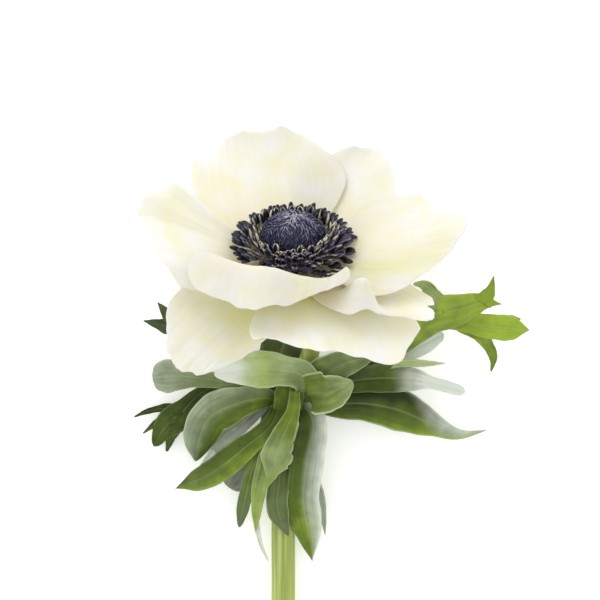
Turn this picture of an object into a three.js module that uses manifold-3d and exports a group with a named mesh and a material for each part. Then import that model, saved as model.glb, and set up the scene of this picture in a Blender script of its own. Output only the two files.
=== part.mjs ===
// White anemone flower, cut and laid down on a flat surface. Millimetres, +Z up.
// The stem runs along Y and the bloom looks up and along +Y. The origin is on the surface,
// under the middle of the flower's outline.
import * as THREE from 'three';
import { mergeVertices } from 'three/addons/utils/BufferGeometryUtils.js';
import Module from 'manifold-3d';

const wasm = await Module();
wasm.setup();

// All places below are measured from the point of the surface under the bloom.
// This is how far the middle of the outline lies from that point.
const OUTLINE_MIDDLE = new THREE.Vector3(10.2, -63.5, 0);

// Bloom: where the tepals meet the receptacle, and how far the axis leans from the vertical.
const BLOOM_CENTRE = new THREE.Vector3(0.3, 2.1, 25);
const BLOOM_LEAN = 54;

// Tepals sit on the receptacle in four tiers. Each is a thin sheet over the bloom's plane.
const CLAW_RADIUS = 4.6;
const TOP_TIER = 3;
const TOP_TIER_HEIGHT = -0.2;
const TIER_STEP = 1.3;
const USUAL_BOWL = [9, 9];
const NO_BEND = [0, 0];
const BOWL_SOFTNESS = 3;
const TEPAL_THICKNESS = 0.85;
const TEPAL_EDGE = 0.65;
const TEPAL_ROWS = 11;
const TEPAL_COLUMNS = 12;

// The front tepal's lip: the radius of its ridge and the height of the wall inside it, both
// from its clockwise to its counterclockwise edge, the wall's width, and how it droops outside.
const LIP = {
  ridge: [24.5, 23, 21, 21, 19.5, 21, 21.5], height: [5.5, 6.5, 7, 8.5, 5.5, 4.5, 6],
  wall: 4, droop: 0.4, softness: 3,
};

// The horn of the far right tepal: its place on the sheet, its height and its breadths.
const HORN = { along: 28, side: -7.4, height: 9.4, inward: 6.5, outward: 3, before: 3.4, behind: 1.5 };

// Stem, pedicel and receptacle.
const STEM_RADIUS = 3.2;
const STEM_LENGTH_BELOW_NODE = 126;
const PEDICEL_RADIUS = 2.4;
const RECEPTACLE_RADIUS = 4.2;
const RECEPTACLE_TOP = 0.5;
const STEM_SIDES = 12;
const STEM_STEPS = 28;
const CUT_SLOPE = 0.7;

// Involucre: three leafy bracts clasp the stem at this node.
const NODE = new THREE.Vector3(-0.4, -36.9, 5);
const SHEATH_INNER = 3.8;
const SHEATH_OUTER = 4.8;
const SHEATH_HEIGHT = 5;
const SHEATH_ABOVE_NODE = 1.2;
const SHEATH_SPAN = 108;
const BRACT_THICKNESS = 0.7;

// Pistil dome and stamens.
const PISTIL_RADIUS = 8.7;
const PISTIL_FOOT_RADIUS = 4.9;
const PISTIL_FOOT = 0.8;
const PISTIL_FOOT_TOP = 2.9;
const PISTIL_WAIST = 5;
const PISTIL_TOP = 12.3;
const PISTIL_STUD = 0.35;
const PISTIL_STUDS_ROUND = 34;
const PISTIL_DOME_ROWS = 10;
const COLLAR_HOLE = 5.2;
const COLLAR_RADIUS = 10.2;
const COLLAR_BOTTOM = 1.5;
const COLLAR_TOP = 2.6;
const COLLAR_INNER_TOP = 2.3;
const COLLAR_LEVEL_FROM = 8.4;
const FILAMENT_RADIUS = 0.36;
const FILAMENT_INSET = 0.8;
const FILAMENT_SINK = 0.4;
const ANTHER_RADIUS = 0.72;
const ANTHER_TIP_RADIUS = 0.25;
const ANTHER_LENGTH = 2.9;
const ANTHER_SLOPE = 0.75;
const STAMEN_SIDES = 5;
const STAMEN_SCATTER = { turn: 0.3, reach: 0.6, height: 0.7 };
const STAMEN_SEED = 11;

const COLOURS = {
  tepal: { color: 0xf5f2e2, roughness: 0.6 },
  stem: { color: 0xb5c46e, roughness: 0.5 },
  bract: { color: 0x5e7a3a, roughness: 0.55 },
  stamen: { color: 0x1f1c2e, roughness: 0.45 },
  pistil: { color: 0x34335a, roughness: 0.7 },
};

const radians = THREE.MathUtils.degToRad;
const slopeOf = (degrees) => Math.tan(radians(degrees));

// The tepals, with azimuths seen along the bloom's axis: 0 is right, 90 is back, 270 is front.
// sides: half widths on the clockwise and the counterclockwise side of the middle line.
// fan: the angles at which those sides open from the claw. tip: the width's share at the end.
// reach, rise and bend run from the clockwise to the counterclockwise edge: how far out the
// margin lies, how steeply the sheet climbs in degrees, and how much its end bends up or down.
// bowl, where it isn't the usual one, runs the same way: the radius at which the climb starts.
const TEPALS = {
  tepal_back: {
    azimuth: 102, tier: 1, sides: [21.5, 23], fan: [43, 58], tip: [0.95, 0.95],
    reach: [32.5, 35.5, 39, 43, 41.5, 44, 42, 35.5, 35.5],
    rise: [23, 24.5, 26, 25.5, 25, 23, 22, 23, 25], pleats: [0.4, 2.6, 0.4],
  },
  tepal_back_right: {
    azimuth: 52, tier: 0, sides: [20.5, 22], fan: [38, 40], tip: [0.75, 0.9],
    reach: [25.5, 33, 38, 42, 43.5, 38.5, 31], rise: [21, 21, 21.3, 21.5, 21.5, 22, 22],
    pleats: [0.3, 2.2, 1.6],
  },
  tepal_right: {
    azimuth: -8, tier: 3, sides: [20.5, 21.5], fan: [37, 46], tip: [1, 0.95],
    reach: [24, 32.5, 37.5, 43, 45.5, 44.5, 36, 35, 32.5],
    rise: [6, 9, 13, 17, 20, 20, 20, 20, 20], bend: [0, 0, 0, 0, 0, 0, 0, -0.5, -1],
    pleats: [0.3, 1.6, 0.2],
  },
  tepal_left: {
    azimuth: 175, tier: 2, sides: [15, 21], fan: [20, 43], tip: [1, 0.95],
    reach: [32, 33, 36, 40, 41, 38.5, 35, 33, 28],
    rise: [27, 27, 27, 27, 26, 25.5, 22.5, 17.5, 12.5],
    bend: [5, 6, 3, 0.5, -2.5, -2, 0, 1, -1],
    bowl: [9, 9, 9, 9, 9, 10, 13, 17, 20], pleats: [0.3, 1.8, 2.4],
  },
  tepal_front: {
    azimuth: 255, tier: 3, sides: [28.5, 20.5], fan: [51.5, 57], tip: [1, 1],
    reach: [19, 29, 32.5, 36, 28.5, 21.5, 16.5], rise: [10.5, 8.5, 8, 8],
    pleats: [0.5, 1.7, 0.9], fold: rolledLip,
  },
  tepal_front_left: {
    azimuth: 228, tier: 0, sides: [16, 12.5], fan: [44, 42], tip: [0.9, 0.85],
    reach: [35, 39, 43, 45, 43.5, 40, 31], rise: [3, 2, 1, 0, 0, 0, 0],
    bend: [-1, -3, -6, -8, -9, -9, -9], pleats: [0.3, 1.5, 0.6],
  },
  tepal_front_right: {
    azimuth: 290, tier: 1, sides: [22, 29.5], fan: [43, 40.5], tip: [1.05, 0.95],
    reach: [31.5, 30.5, 34, 36, 34.5, 37, 39.5, 36, 35],
    rise: [3, 2.5, 1.5, 1, 0, 0, 0, 0, 0],
    bend: [0, -0.5, -1, -2.5, -5, -7.5, -8.5, -7.5, -5], pleats: [0.3, 2.1, 1.2],
  },
  tepal_front_far_right: {
    azimuth: 325, tier: 2, sides: [13, 9], fan: [39, 34], tip: [0.3, 0.75],
    reach: [39, 42.5, 44.5, 44.5, 43, 41.8, 41], rise: [2, 2],
    bend: [-2, -2, -1.5, -1, -1, -1, -1], pleats: [0, 1, 0], fold: raisedHorn,
  },
};

// The lobes of the bracts. Each path starts on the sheath at the given angle round the stem
// (90 is the upper side, 180 the left) and runs through its points to the tip. A lobe without
// an angle branches off another one. Widths are read from root to tip, and shifts move the
// lobe to the left of its path in the same way.
const FRONT_LOBES = [
  { angle: 128, path: [[-5.5, -43.5, 12.4], [-13, -50, 12], [-22, -57, 9], [-32, -61.5, 4.4]],
    widths: [3.3, 5, 6, 7, 7.5, 5.5, 0.4], fold: 0.2 },
  { angle: 115, path: [[-7, -47.5, 11], [-11, -56, 10], [-13, -64.5, 8], [-14.5, -72, 5]],
    widths: [2.7, 2.7, 3, 3.3, 3.5, 3.5, 1.4], fold: 0.1 },
  { angle: 104, path: [[-6, -48, 12], [-8.5, -58.5, 11.6], [-9.5, -65.5, 9.6], [-10, -73.5, 6]],
    widths: [3.3, 3.5, 3.8, 4.1, 4.1, 2.7, 0.3], fold: 0.2 },
  { path: [[0.8, -34.5, 12.8], [0.2, -40, 14.2], [-2.8, -47.5, 14.2], [-4.5, -53.5, 13.4],
    [-6.5, -60.5, 12]],
    widths: [2.6, 3.4, 4.5, 6, 8, 8.5, 3.8, 0.3], fold: 0.15, wide: true },
  { angle: 62, path: [[5.5, -42.5, 12.4], [4, -53.5, 10.4], [3, -64.5, 8], [4.5, -74, 5],
    [5.5, -81.5, 3.4]],
    widths: [4.5, 7, 8.5, 9, 9, 9, 8.5, 5.5, 0.3], fold: 0.2, wide: true },
  { path: [[6.5, -59, 9], [8, -65.5, 7.6], [9, -74, 5.6]], widths: [2.2, 2.7, 2.2, 1.4, 0.3] },
  { angle: 84, path: [[-2, -48, 10], [-3.5, -59, 9.2], [-4, -66.5, 8.8], [-1, -74, 8.4]],
    widths: [3.3, 3.8, 4.5, 5.5, 6, 5.5, 1.1] },
  { path: [[-10, -63.5, 10], [-9.5, -72, 5.6], [-8.5, -77, 4], [-6.5, -81.5, 3.4]],
    widths: [1.1, 1.4, 1.4, 1.1, 0.5] },
  { angle: 70, path: [[2, -33, 12.4], [-1, -30, 14.8], [-6.5, -28.5, 16], [-14, -29, 16],
    [-21, -30, 13.6]],
    widths: [4.5, 6.5, 8, 8.5, 10, 9.5, 7.5, 5, 1.6], shifts: [-0.5, -2, -2, -0.5, 0, 0, 0, 0, 0],
    fold: 0.4, wide: true },
  { angle: 50, path: [[5, -35, 12.2], [9.5, -35, 13.4], [13.5, -33.5, 14.2], [16.5, -32, 14]],
    widths: [5, 8.5, 11, 11, 9.5, 6.5, 1.9], fold: 0.3, wide: true },
  { angle: 45, path: [[8, -31, 11.3], [13, -27.5, 11.8], [18, -26, 12.2], [23, -25, 11.6]],
    widths: [5.5, 9, 10.5, 9, 7, 4.5, 1.1], fold: 0.2, wide: true },
  { path: [[-2, -44, 9.6], [-1, -37.5, 10.6], [-0.3, -31.5, 11.4]], widths: [6, 7.5, 8, 7] },
];
const LEFT_LOBES = [
  { angle: 158, path: [[-8, -36.5, 9], [-15, -38, 10.4], [-22, -41.5, 9.6], [-25, -47, 7.6],
    [-26.5, -54, 4.4]],
    widths: [4.5, 6, 8, 10, 11, 11, 10, 7.5, 1.6], fold: -0.3, wide: true },
  { angle: 185, path: [[-15.5, -33, 4.2], [-22, -33.5, 5], [-26.5, -36.5, 5.2], [-30.5, -41, 5],
    [-35, -45, 3.6], [-38, -50, 2]],
    widths: [1.6, 2.2, 2.7, 3, 3.5, 5.5, 8, 6, 2.2], wide: true },
  { path: [[-30, -40, 5], [-35.5, -39.5, 4], [-40, -40.5, 3], [-43.5, -42, 2.2]],
    widths: [2.7, 3, 1.9, 1.4, 0.4] },
  { path: [[-32, -41.5, 5], [-37, -43.5, 3.6], [-41, -46.5, 2.4]], widths: [3.3, 3, 1.6, 0.4] },
  { path: [[-30, -42, 5], [-33, -47, 3.6], [-34.5, -51.5, 2]], widths: [3.8, 3.5, 2.4, 0.8] },
  { angle: 170, path: [[-10, -33.5, 7], [-19, -32, 8.6], [-26.5, -31, 9], [-32.5, -30.5, 9],
    [-38, -31, 8]],
    widths: [2.7, 3, 3.3, 3.5, 4.1, 5, 7, 9, 7], fold: 0.2, wide: true },
  { angle: 176, path: [[-8, -33, 6], [-20, -25.5, 10], [-29.5, -18.5, 12], [-33, -16, 11.6]],
    widths: [2.2, 4.5, 5.5, 5.5, 4.5, 2.7, 1.4] },
  { path: [[-31, -17.5, 12], [-34, -13.5, 11.4], [-36.5, -10.5, 10.4]],
    widths: [3.3, 3.8, 2.4, 0.4] },
  { path: [[-30, -18.5, 12], [-36, -16.5, 10.6], [-40.5, -15.5, 8.4]],
    widths: [2.7, 4.1, 2.4, 0.4] },
  { angle: 205, path: [[-8.5, -39.5, 4.4], [-13, -43.5, 5.4], [-18.5, -48, 4.6], [-23, -53.5, 3]],
    widths: [2.2, 3, 3.8, 4.1, 4.1, 3, 1.1] },
  { path: [[-21.5, -51, 4], [-24, -54.5, 3], [-26.5, -57.5, 2.4]], widths: [1.9, 1.6, 0.5] },
  { path: [[-6.5, -38.5, 3.6], [-7.5, -45.5, 4.2], [-11, -52.5, 4.6], [-14.5, -57.5, 4],
    [-17, -61.5, 3]],
    widths: [2.7, 3.3, 4.5, 6, 7.5, 8, 7.5, 5], fold: 0.3 },
  { angle: 235, path: [[-3.5, -32.5, 2.4], [-3, -25, 2.2], [-1.5, -18, 3]],
    widths: [3.3, 7.5, 11, 12, 11] },
];
const RIGHT_LOBES = [
  { angle: 22, path: [[10.5, -38, 9], [20, -38, 10], [29.5, -40, 9.4], [37.5, -43.5, 8],
    [45.5, -46.5, 6], [53.5, -45.5, 4]],
    widths: [3.8, 7, 9, 10.5, 11, 9, 5, 2.2, 0.4], fold: -0.1, wide: true },
  { path: [[8, -34.5, 9.4], [15.5, -32, 10.4], [25, -31, 10.8], [33.5, -31.5, 10.4],
    [40.5, -33, 9.6], [47, -35, 8]],
    widths: [3.8, 5.5, 7, 7.5, 8, 6.5, 3.5, 3.5, 2.7], wide: true },
  { path: [[24, -28.5, 10.4], [29.5, -27, 12], [36, -27, 12.8], [41.5, -27, 12]],
    widths: [1.4, 1.9, 2.2, 1.6, 0.3] },
  { path: [[15.5, -29.5, 7.6], [28, -25.5, 8], [34.5, -22.5, 9.4], [41, -19, 11.6]],
    widths: [2.7, 3.8, 5, 5.5, 5.5, 5, 3] },
  { angle: 8, path: [[14.5, -31.5, 7], [27.5, -21.5, 12], [36.5, -14.5, 15.8], [44.5, -12.5, 17.6],
    [51, -10.5, 17.6], [56.5, -11, 16.6]],
    widths: [3.3, 5, 6, 7, 8.5, 10, 9.5, 6, 0.4], fold: 0.1, wide: true },
  { path: [[51, -10.5, 17.8], [53, -7.5, 18.6], [54, -3.5, 19.4]], widths: [5.5, 3.8, 1.9, 0.4] },
  { path: [[40, -14.5, 16.6], [46.5, -16, 17.6], [53.5, -17, 18], [59, -17.5, 17], [64, -18, 15.4]],
    widths: [5, 5, 5.5, 6.5, 7, 5.5, 0.4] },
  { path: [[56, -16, 17.4], [59, -15, 17], [61.5, -15, 16.4]], widths: [3.3, 2.4, 0.5] },
  { path: [[45, -16.5, 17.6], [49.5, -18.5, 16.8], [52.5, -21.5, 14], [54.5, -25.5, 11],
    [54, -29.5, 9]],
    widths: [3.8, 4.1, 3.3, 2.4, 0.4] },
  { path: [[40, -12, 16.6], [38, -9, 17.6], [35.5, -6, 18], [32.5, -5.5, 18]],
    widths: [6, 4.5, 3.3, 0.8] },
  { angle: -50, path: [[9, -32.5, 3], [17, -24, 3.6], [25, -15, 6]],
    widths: [2.7, 5.5, 7, 6.5, 2.7] },
];

// A rise from 0 to 1 between two values, level at both ends.
function ease(low, high, value) {
  return THREE.MathUtils.smoothstep(value, low, high);
}

// The value at v, from -1 to 1, on a smooth curve through equally spaced values.
function across(values, v) {
  const place = ((v + 1) / 2) * (values.length - 1);
  const i = Math.min(Math.floor(place), values.length - 2);
  const f = place - i;
  const before = values[Math.max(i - 1, 0)];
  const after = values[Math.min(i + 2, values.length - 1)];
  const startSlope = (values[i + 1] - before) / 2;
  const endSlope = (after - values[i]) / 2;
  const drop = values[i] - values[i + 1];
  const cubic = startSlope + endSlope + 2 * drop;
  const square = -3 * drop - 2 * startSlope - endSlope;
  return values[i] + f * (startSlope + f * (square + f * cubic));
}

// The front tepal stands up round the stamens and rolls over into a lip.
function rolledLip({ radius, v }) {
  const ridge = across(LIP.ridge, v);
  const beyond = Math.max(0, radius - ridge);
  const wall = across(LIP.height, v) * ease(ridge - LIP.wall, ridge, radius);
  return wall - LIP.droop * (Math.hypot(beyond, LIP.softness) - LIP.softness);
}

// One fold of the far right tepal stands up in a horn, gentle on its front side.
function raisedHorn({ along, side }) {
  const offset = side - HORN.side;
  const breadth = offset < 0 ? HORN.before : HORN.behind;
  const length = along < HORN.along ? HORN.inward : HORN.outward;
  return HORN.height * Math.exp(-(((along - HORN.along) / length) ** 2) - (offset / breadth) ** 2);
}

// The half width of a tepal's side: it fans out from the claw, then keeps its width to the
// last third, where it closes to its tip share.
function halfWidth(tepal, edge, along, u) {
  const fanned = along * slopeOf(tepal.fan[edge]);
  const full = tepal.sides[edge];
  const opened = (fanned ** -8 + full ** -8) ** -0.125;
  return opened * (1 - (1 - tepal.tip[edge]) * ease(0.6, 1, u));
}

// A point of a tepal's middle sheet, in the bloom's own frame.
function tepalPoint(tepal, u, v) {
  const along = CLAW_RADIUS + (across(tepal.reach, v) - CLAW_RADIUS) * u;
  const side = v * halfWidth(tepal, v < 0 ? 0 : 1, along, u);
  const radius = Math.hypot(along, side);
  const outside = radius - across(tepal.bowl ?? USUAL_BOWL, v);
  const climbed = (outside + Math.hypot(outside, BOWL_SOFTNESS)) / 2;
  const [depth, count, phase] = tepal.pleats;
  let height = TOP_TIER_HEIGHT - (TOP_TIER - tepal.tier) * TIER_STEP;
  height += climbed * slopeOf(across(tepal.rise, v));
  height += across(tepal.bend ?? NO_BEND, v) * u * u;
  height += depth * u ** 3 * Math.sin(Math.PI * count * v + phase);
  height += tepal.fold ? tepal.fold({ radius, along, side, v }) : 0;
  const turn = radians(tepal.azimuth);
  const x = along * Math.cos(turn) - side * Math.sin(turn);
  const y = along * Math.sin(turn) + side * Math.cos(turn);
  return new THREE.Vector3(x, y, height);
}

// How steep a tepal is at u and v: its thickness, square to the sheet, measures more upwards.
function steepness(tepal, u, v) {
  const step = 0.02;
  const here = tepalPoint(tepal, u, v);
  const out = tepalPoint(tepal, u > 0.5 ? u - step : u + step, v).sub(here);
  const beside = tepalPoint(tepal, u, v > 0 ? v - step : v + step).sub(here);
  const normal = out.cross(beside).normalize();
  return 1 / Math.max(Math.abs(normal.z), 0.35);
}

// A point in the bloom's frame, raised straight up where it lies below the surface.
function ontoSurface(point) {
  const lean = radians(BLOOM_LEAN);
  const up = new THREE.Vector3(0, -Math.sin(lean), Math.cos(lean));
  const above = BLOOM_CENTRE.z + point.dot(up);
  return point.addScaledVector(up, Math.max(0, -above));
}

// A closed sheet between two grids of points, triangulated alike on both faces.
function closedSheet(upper, lower, rows, columns) {
  const points = [...upper, ...lower];
  const top = (i, j) => i * (columns + 1) + j;
  const under = (i, j) => upper.length + top(i, j);
  const index = [];
  for (let i = 0; i < rows; i += 1) {
    for (let j = 0; j < columns; j += 1) {
      index.push(top(i, j), top(i + 1, j), top(i + 1, j + 1));
      index.push(top(i, j), top(i + 1, j + 1), top(i, j + 1));
      index.push(under(i, j), under(i + 1, j + 1), under(i + 1, j));
      index.push(under(i, j), under(i, j + 1), under(i + 1, j + 1));
    }
    index.push(top(i, 0), under(i, 0), under(i + 1, 0));
    index.push(top(i, 0), under(i + 1, 0), top(i + 1, 0));
    index.push(top(i, columns), under(i + 1, columns), under(i, columns));
    index.push(top(i, columns), top(i + 1, columns), under(i + 1, columns));
  }
  for (let j = 0; j < columns; j += 1) {
    index.push(top(0, j), top(0, j + 1), under(0, j + 1));
    index.push(top(0, j), under(0, j + 1), under(0, j));
    index.push(top(rows, j), under(rows, j), under(rows, j + 1));
    index.push(top(rows, j), under(rows, j + 1), top(rows, j + 1));
  }
  return indexedGeometry(points, index);
}

function indexedGeometry(points, index) {
  const geometry = new THREE.BufferGeometry().setFromPoints(points);
  geometry.setIndex(index);
  geometry.computeVertexNormals();
  return geometry;
}

// One tepal as a closed sheet. Where it would sink into the surface, it lies flat on it.
function tepalGeometry(tepal) {
  const upper = [];
  const lower = [];
  for (let i = 0; i <= TEPAL_ROWS; i += 1) {
    for (let j = 0; j <= TEPAL_COLUMNS; j += 1) {
      const u = i / TEPAL_ROWS;
      const v = (2 * j) / TEPAL_COLUMNS - 1;
      const point = tepalPoint(tepal, u, v);
      const inner = Math.min(1 - Math.abs(v), 1 - u) * 4;
      const thickness = TEPAL_EDGE + (TEPAL_THICKNESS - TEPAL_EDGE) * Math.min(inner, 1);
      const depth = thickness * steepness(tepal, u, v);
      const under = ontoSurface(point.setZ(point.z - depth / 2));
      lower.push(under);
      upper.push(under.clone().setZ(under.z + depth));
    }
  }
  return closedSheet(upper, lower, TEPAL_ROWS, TEPAL_COLUMNS);
}

// A round rod along points, with a radius at each. sideways is square to its path.
function rodGeometry(path, radii, sides, sideways) {
  const points = [];
  const index = [];
  path.forEach((centre, i) => {
    const from = path[Math.max(i - 1, 0)];
    const to = path[Math.min(i + 1, path.length - 1)];
    const forward = to.clone().sub(from).normalize();
    const first = sideways.clone().addScaledVector(forward, -sideways.dot(forward)).normalize();
    const second = forward.clone().cross(first);
    for (let k = 0; k < sides; k += 1) {
      const turn = (2 * Math.PI * (k + 0.5)) / sides;
      const point = centre.clone().addScaledVector(first, radii[i] * Math.cos(turn));
      points.push(point.addScaledVector(second, radii[i] * Math.sin(turn)));
    }
  });
  const last = path.length - 1;
  const startCap = points.push(path[0].clone()) - 1;
  const endCap = points.push(path[last].clone()) - 1;
  for (let k = 0; k < sides; k += 1) {
    const next = (k + 1) % sides;
    for (let i = 0; i < last; i += 1) {
      const ring = i * sides;
      index.push(ring + k, ring + next, ring + sides + next);
      index.push(ring + k, ring + sides + next, ring + sides + k);
    }
    index.push(startCap, next, k);
    index.push(endCap, last * sides + k, last * sides + next);
  }
  return indexedGeometry(points, index);
}

// A closed mesh as a solid that can be joined to others.
function solidOf(geometry) {
  const bare = geometry.clone();
  bare.deleteAttribute('normal');
  bare.deleteAttribute('uv');
  const merged = mergeVertices(bare, 1e-4);
  const vertProperties = new Float32Array(merged.attributes.position.array);
  const triVerts = new Uint32Array(merged.index.array);
  return new wasm.Manifold(new wasm.Mesh({ numProp: 3, vertProperties, triVerts }));
}

// The pieces joined into one body. Its outer skin is kept, so a hollow inside it is filled.
function fuse(geometries) {
  const joined = geometries.map(solidOf).reduce((whole, piece) => whole.add(piece));
  const skins = joined.decompose().sort((a, b) => b.volume() - a.volume());
  const mesh = skins[0].getMesh();
  const geometry = new THREE.BufferGeometry();
  geometry.setAttribute('position', new THREE.BufferAttribute(mesh.vertProperties, 3));
  geometry.setIndex(new THREE.BufferAttribute(mesh.triVerts, 1));
  geometry.computeVertexNormals();
  return geometry;
}

// Repeatable random numbers from 0 to 1.
function randomSource(seed) {
  let state = seed;
  return () => {
    state = (state * 16807) % 2147483647;
    return state / 2147483647;
  };
}

function meshOf(name, geometry, finish) {
  const mesh = new THREE.Mesh(geometry, new THREE.MeshStandardMaterial(finish));
  mesh.name = name;
  return mesh;
}

// The stem from its slanted cut to the node, the thinner pedicel and the round receptacle.
function stemGeometry() {
  const axis = new THREE.Vector3(0, Math.sin(radians(BLOOM_LEAN)), Math.cos(radians(BLOOM_LEAN)));
  const onAxis = (height) => BLOOM_CENTRE.clone().addScaledVector(axis, height);
  const flatBottom = STEM_RADIUS * Math.cos(Math.PI / STEM_SIDES);
  const cutY = NODE.y - STEM_LENGTH_BELOW_NODE;
  const route = new THREE.CatmullRomCurve3([
    new THREE.Vector3(-4.4, cutY, flatBottom),
    new THREE.Vector3(-3.4, -128, 3.9),
    new THREE.Vector3(-2.5, -92, 4.1),
    new THREE.Vector3(-2.3, -62, 4.3),
    NODE.clone(),
    new THREE.Vector3(2.3, -30.8, 6),
    new THREE.Vector3(5.2, -23, 8.8),
    new THREE.Vector3(4.4, -15, 13),
    onAxis(-9.5),
  ], false, 'centripetal');
  const path = route.getSpacedPoints(STEM_STEPS);
  const radii = path.map((point) => {
    const above = ease(NODE.y - 9, NODE.y - 1, point.y);
    return STEM_RADIUS + (PEDICEL_RADIUS - STEM_RADIUS) * above;
  });
  const head = [[-7.5, 2.6], [-5.6, 3.7], [-4.6, RECEPTACLE_RADIUS], [RECEPTACLE_TOP, RECEPTACLE_RADIUS]];
  head.forEach(([height, radius]) => {
    path.push(onAxis(height));
    radii.push(radius);
  });
  const geometry = rodGeometry(path, radii, STEM_SIDES, new THREE.Vector3(1, 0, 0));
  const place = geometry.attributes.position;
  for (let k = 0; k < STEM_SIDES; k += 1) {
    place.setY(k, place.getY(k) + CUT_SLOPE * (place.getZ(k) - flatBottom));
  }
  return geometry;
}

// A leaf lobe: a ribbon along its path, with its edges raised by its fold.
function lobeGeometry(lobe) {
  const path = lobe.path.map(([x, y, z]) => new THREE.Vector3(x, y, z));
  if (lobe.angle !== undefined) {
    const turn = radians(lobe.angle);
    const rootRadius = (SHEATH_INNER + SHEATH_OUTER) / 2 + 0.2;
    const root = new THREE.Vector3(Math.cos(turn), 0, Math.sin(turn)).multiplyScalar(rootRadius);
    path.unshift(root.add(NODE));
  }
  const curve = new THREE.CatmullRomCurve3(path, false, 'centripetal');
  const rows = lobe.wide ? 9 : Math.max(4, Math.round(curve.getLength() / 6));
  const columns = lobe.wide ? 4 : 2;
  const upper = [];
  const lower = [];
  for (let i = 0; i <= rows; i += 1) {
    const t = i / rows;
    const centre = curve.getPointAt(t);
    const forward = curve.getTangentAt(t);
    const beside = new THREE.Vector3(0, 0, 1).cross(forward).normalize();
    const facing = forward.clone().cross(beside);
    const half = across(lobe.widths, 2 * t - 1) / 2;
    const shift = across(lobe.shifts ?? [0, 0], 2 * t - 1);
    for (let j = 0; j <= columns; j += 1) {
      const s = (2 * j) / columns - 1;
      const lift = (lobe.fold ?? 0.12) * half * Math.abs(s) ** 1.5;
      const point = centre.clone().addScaledVector(beside, s * half + shift);
      point.addScaledVector(facing, lift);
      upper.push(point.clone().addScaledVector(facing, BRACT_THICKNESS / 2));
      lower.push(point.clone().addScaledVector(facing, -BRACT_THICKNESS / 2));
    }
  }
  return closedSheet(upper, lower, rows, columns);
}

// A bract: its lobes fused to a clasping third of a ring that faces the middle angle.
function bractGeometry(middleAngle, lobes) {
  const start = radians(middleAngle - SHEATH_SPAN / 2);
  const end = radians(middleAngle + SHEATH_SPAN / 2);
  const section = new THREE.Shape();
  section.absarc(0, 0, SHEATH_OUTER, start, end, false);
  section.absarc(0, 0, SHEATH_INNER, end, start, true);
  const sheath = new THREE.ExtrudeGeometry(section, {
    depth: SHEATH_HEIGHT, bevelEnabled: false, curveSegments: 7,
  });
  sheath.rotateX(Math.PI / 2);
  sheath.translate(NODE.x, NODE.y + SHEATH_ABOVE_NODE, NODE.z);
  return fuse([sheath, ...lobes.map(lobeGeometry)]);
}

// The dome of pistils on a short foot, studded with the tips of its styles.
function pistilGeometry() {
  const rim = PISTIL_STUDS_ROUND;
  const rows = [[PISTIL_FOOT_RADIUS, PISTIL_FOOT, 0], [PISTIL_FOOT_RADIUS, PISTIL_FOOT_TOP, 0]];
  const [lowest, highest] = [radians(-16), radians(76)];
  for (let i = 0; i < PISTIL_DOME_ROWS; i += 1) {
    const angle = THREE.MathUtils.lerp(lowest, highest, i / (PISTIL_DOME_ROWS - 1));
    const radius = PISTIL_RADIUS * Math.cos(angle);
    const height = PISTIL_WAIST + (PISTIL_TOP - PISTIL_WAIST) * Math.sin(angle);
    rows.push([radius, height, i > 0 ? PISTIL_STUD : 0]);
  }
  const points = [];
  rows.forEach(([radius, height, stud], i) => {
    for (let k = 0; k < rim; k += 1) {
      const turn = (2 * Math.PI * k) / rim;
      const out = radius + ((i + k) % 2 === 0 ? stud : -stud / 2);
      points.push(new THREE.Vector3(out * Math.cos(turn), out * Math.sin(turn), height));
    }
  });
  const last = rows.length - 1;
  const foot = points.push(new THREE.Vector3(0, 0, PISTIL_FOOT)) - 1;
  const crown = points.push(new THREE.Vector3(0, 0, PISTIL_TOP)) - 1;
  const index = [];
  for (let k = 0; k < rim; k += 1) {
    const next = (k + 1) % rim;
    for (let i = 0; i < last; i += 1) {
      const ring = i * rim;
      index.push(ring + k, ring + next, ring + rim + next);
      index.push(ring + k, ring + rim + next, ring + rim + k);
    }
    index.push(foot, next, k);
    index.push(crown, last * rim + k, last * rim + next);
  }
  return indexedGeometry(points, index);
}

// One stamen: a filament that leans out from the collar and ends in a long anther.
function stamenGeometry(azimuth, reach, height) {
  const outward = new THREE.Vector3(Math.cos(azimuth), Math.sin(azimuth), 0);
  const at = (radius, level) => outward.clone().multiplyScalar(radius).setZ(level);
  const root = at(COLLAR_RADIUS - FILAMENT_INSET, COLLAR_TOP - FILAMENT_SINK);
  const anther = at(reach, height);
  const lean = at(1, ANTHER_SLOPE).normalize();
  const along = (share) => anther.clone().addScaledVector(lean, ANTHER_LENGTH * share);
  const path = [root, anther, along(0.25), along(0.75), along(1)];
  const radii = [FILAMENT_RADIUS, FILAMENT_RADIUS, ANTHER_RADIUS, ANTHER_RADIUS * 0.9, ANTHER_TIP_RADIUS];
  const sideways = new THREE.Vector3(-outward.y, outward.x, 0);
  return rodGeometry(path, radii, STAMEN_SIDES, sideways);
}

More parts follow.
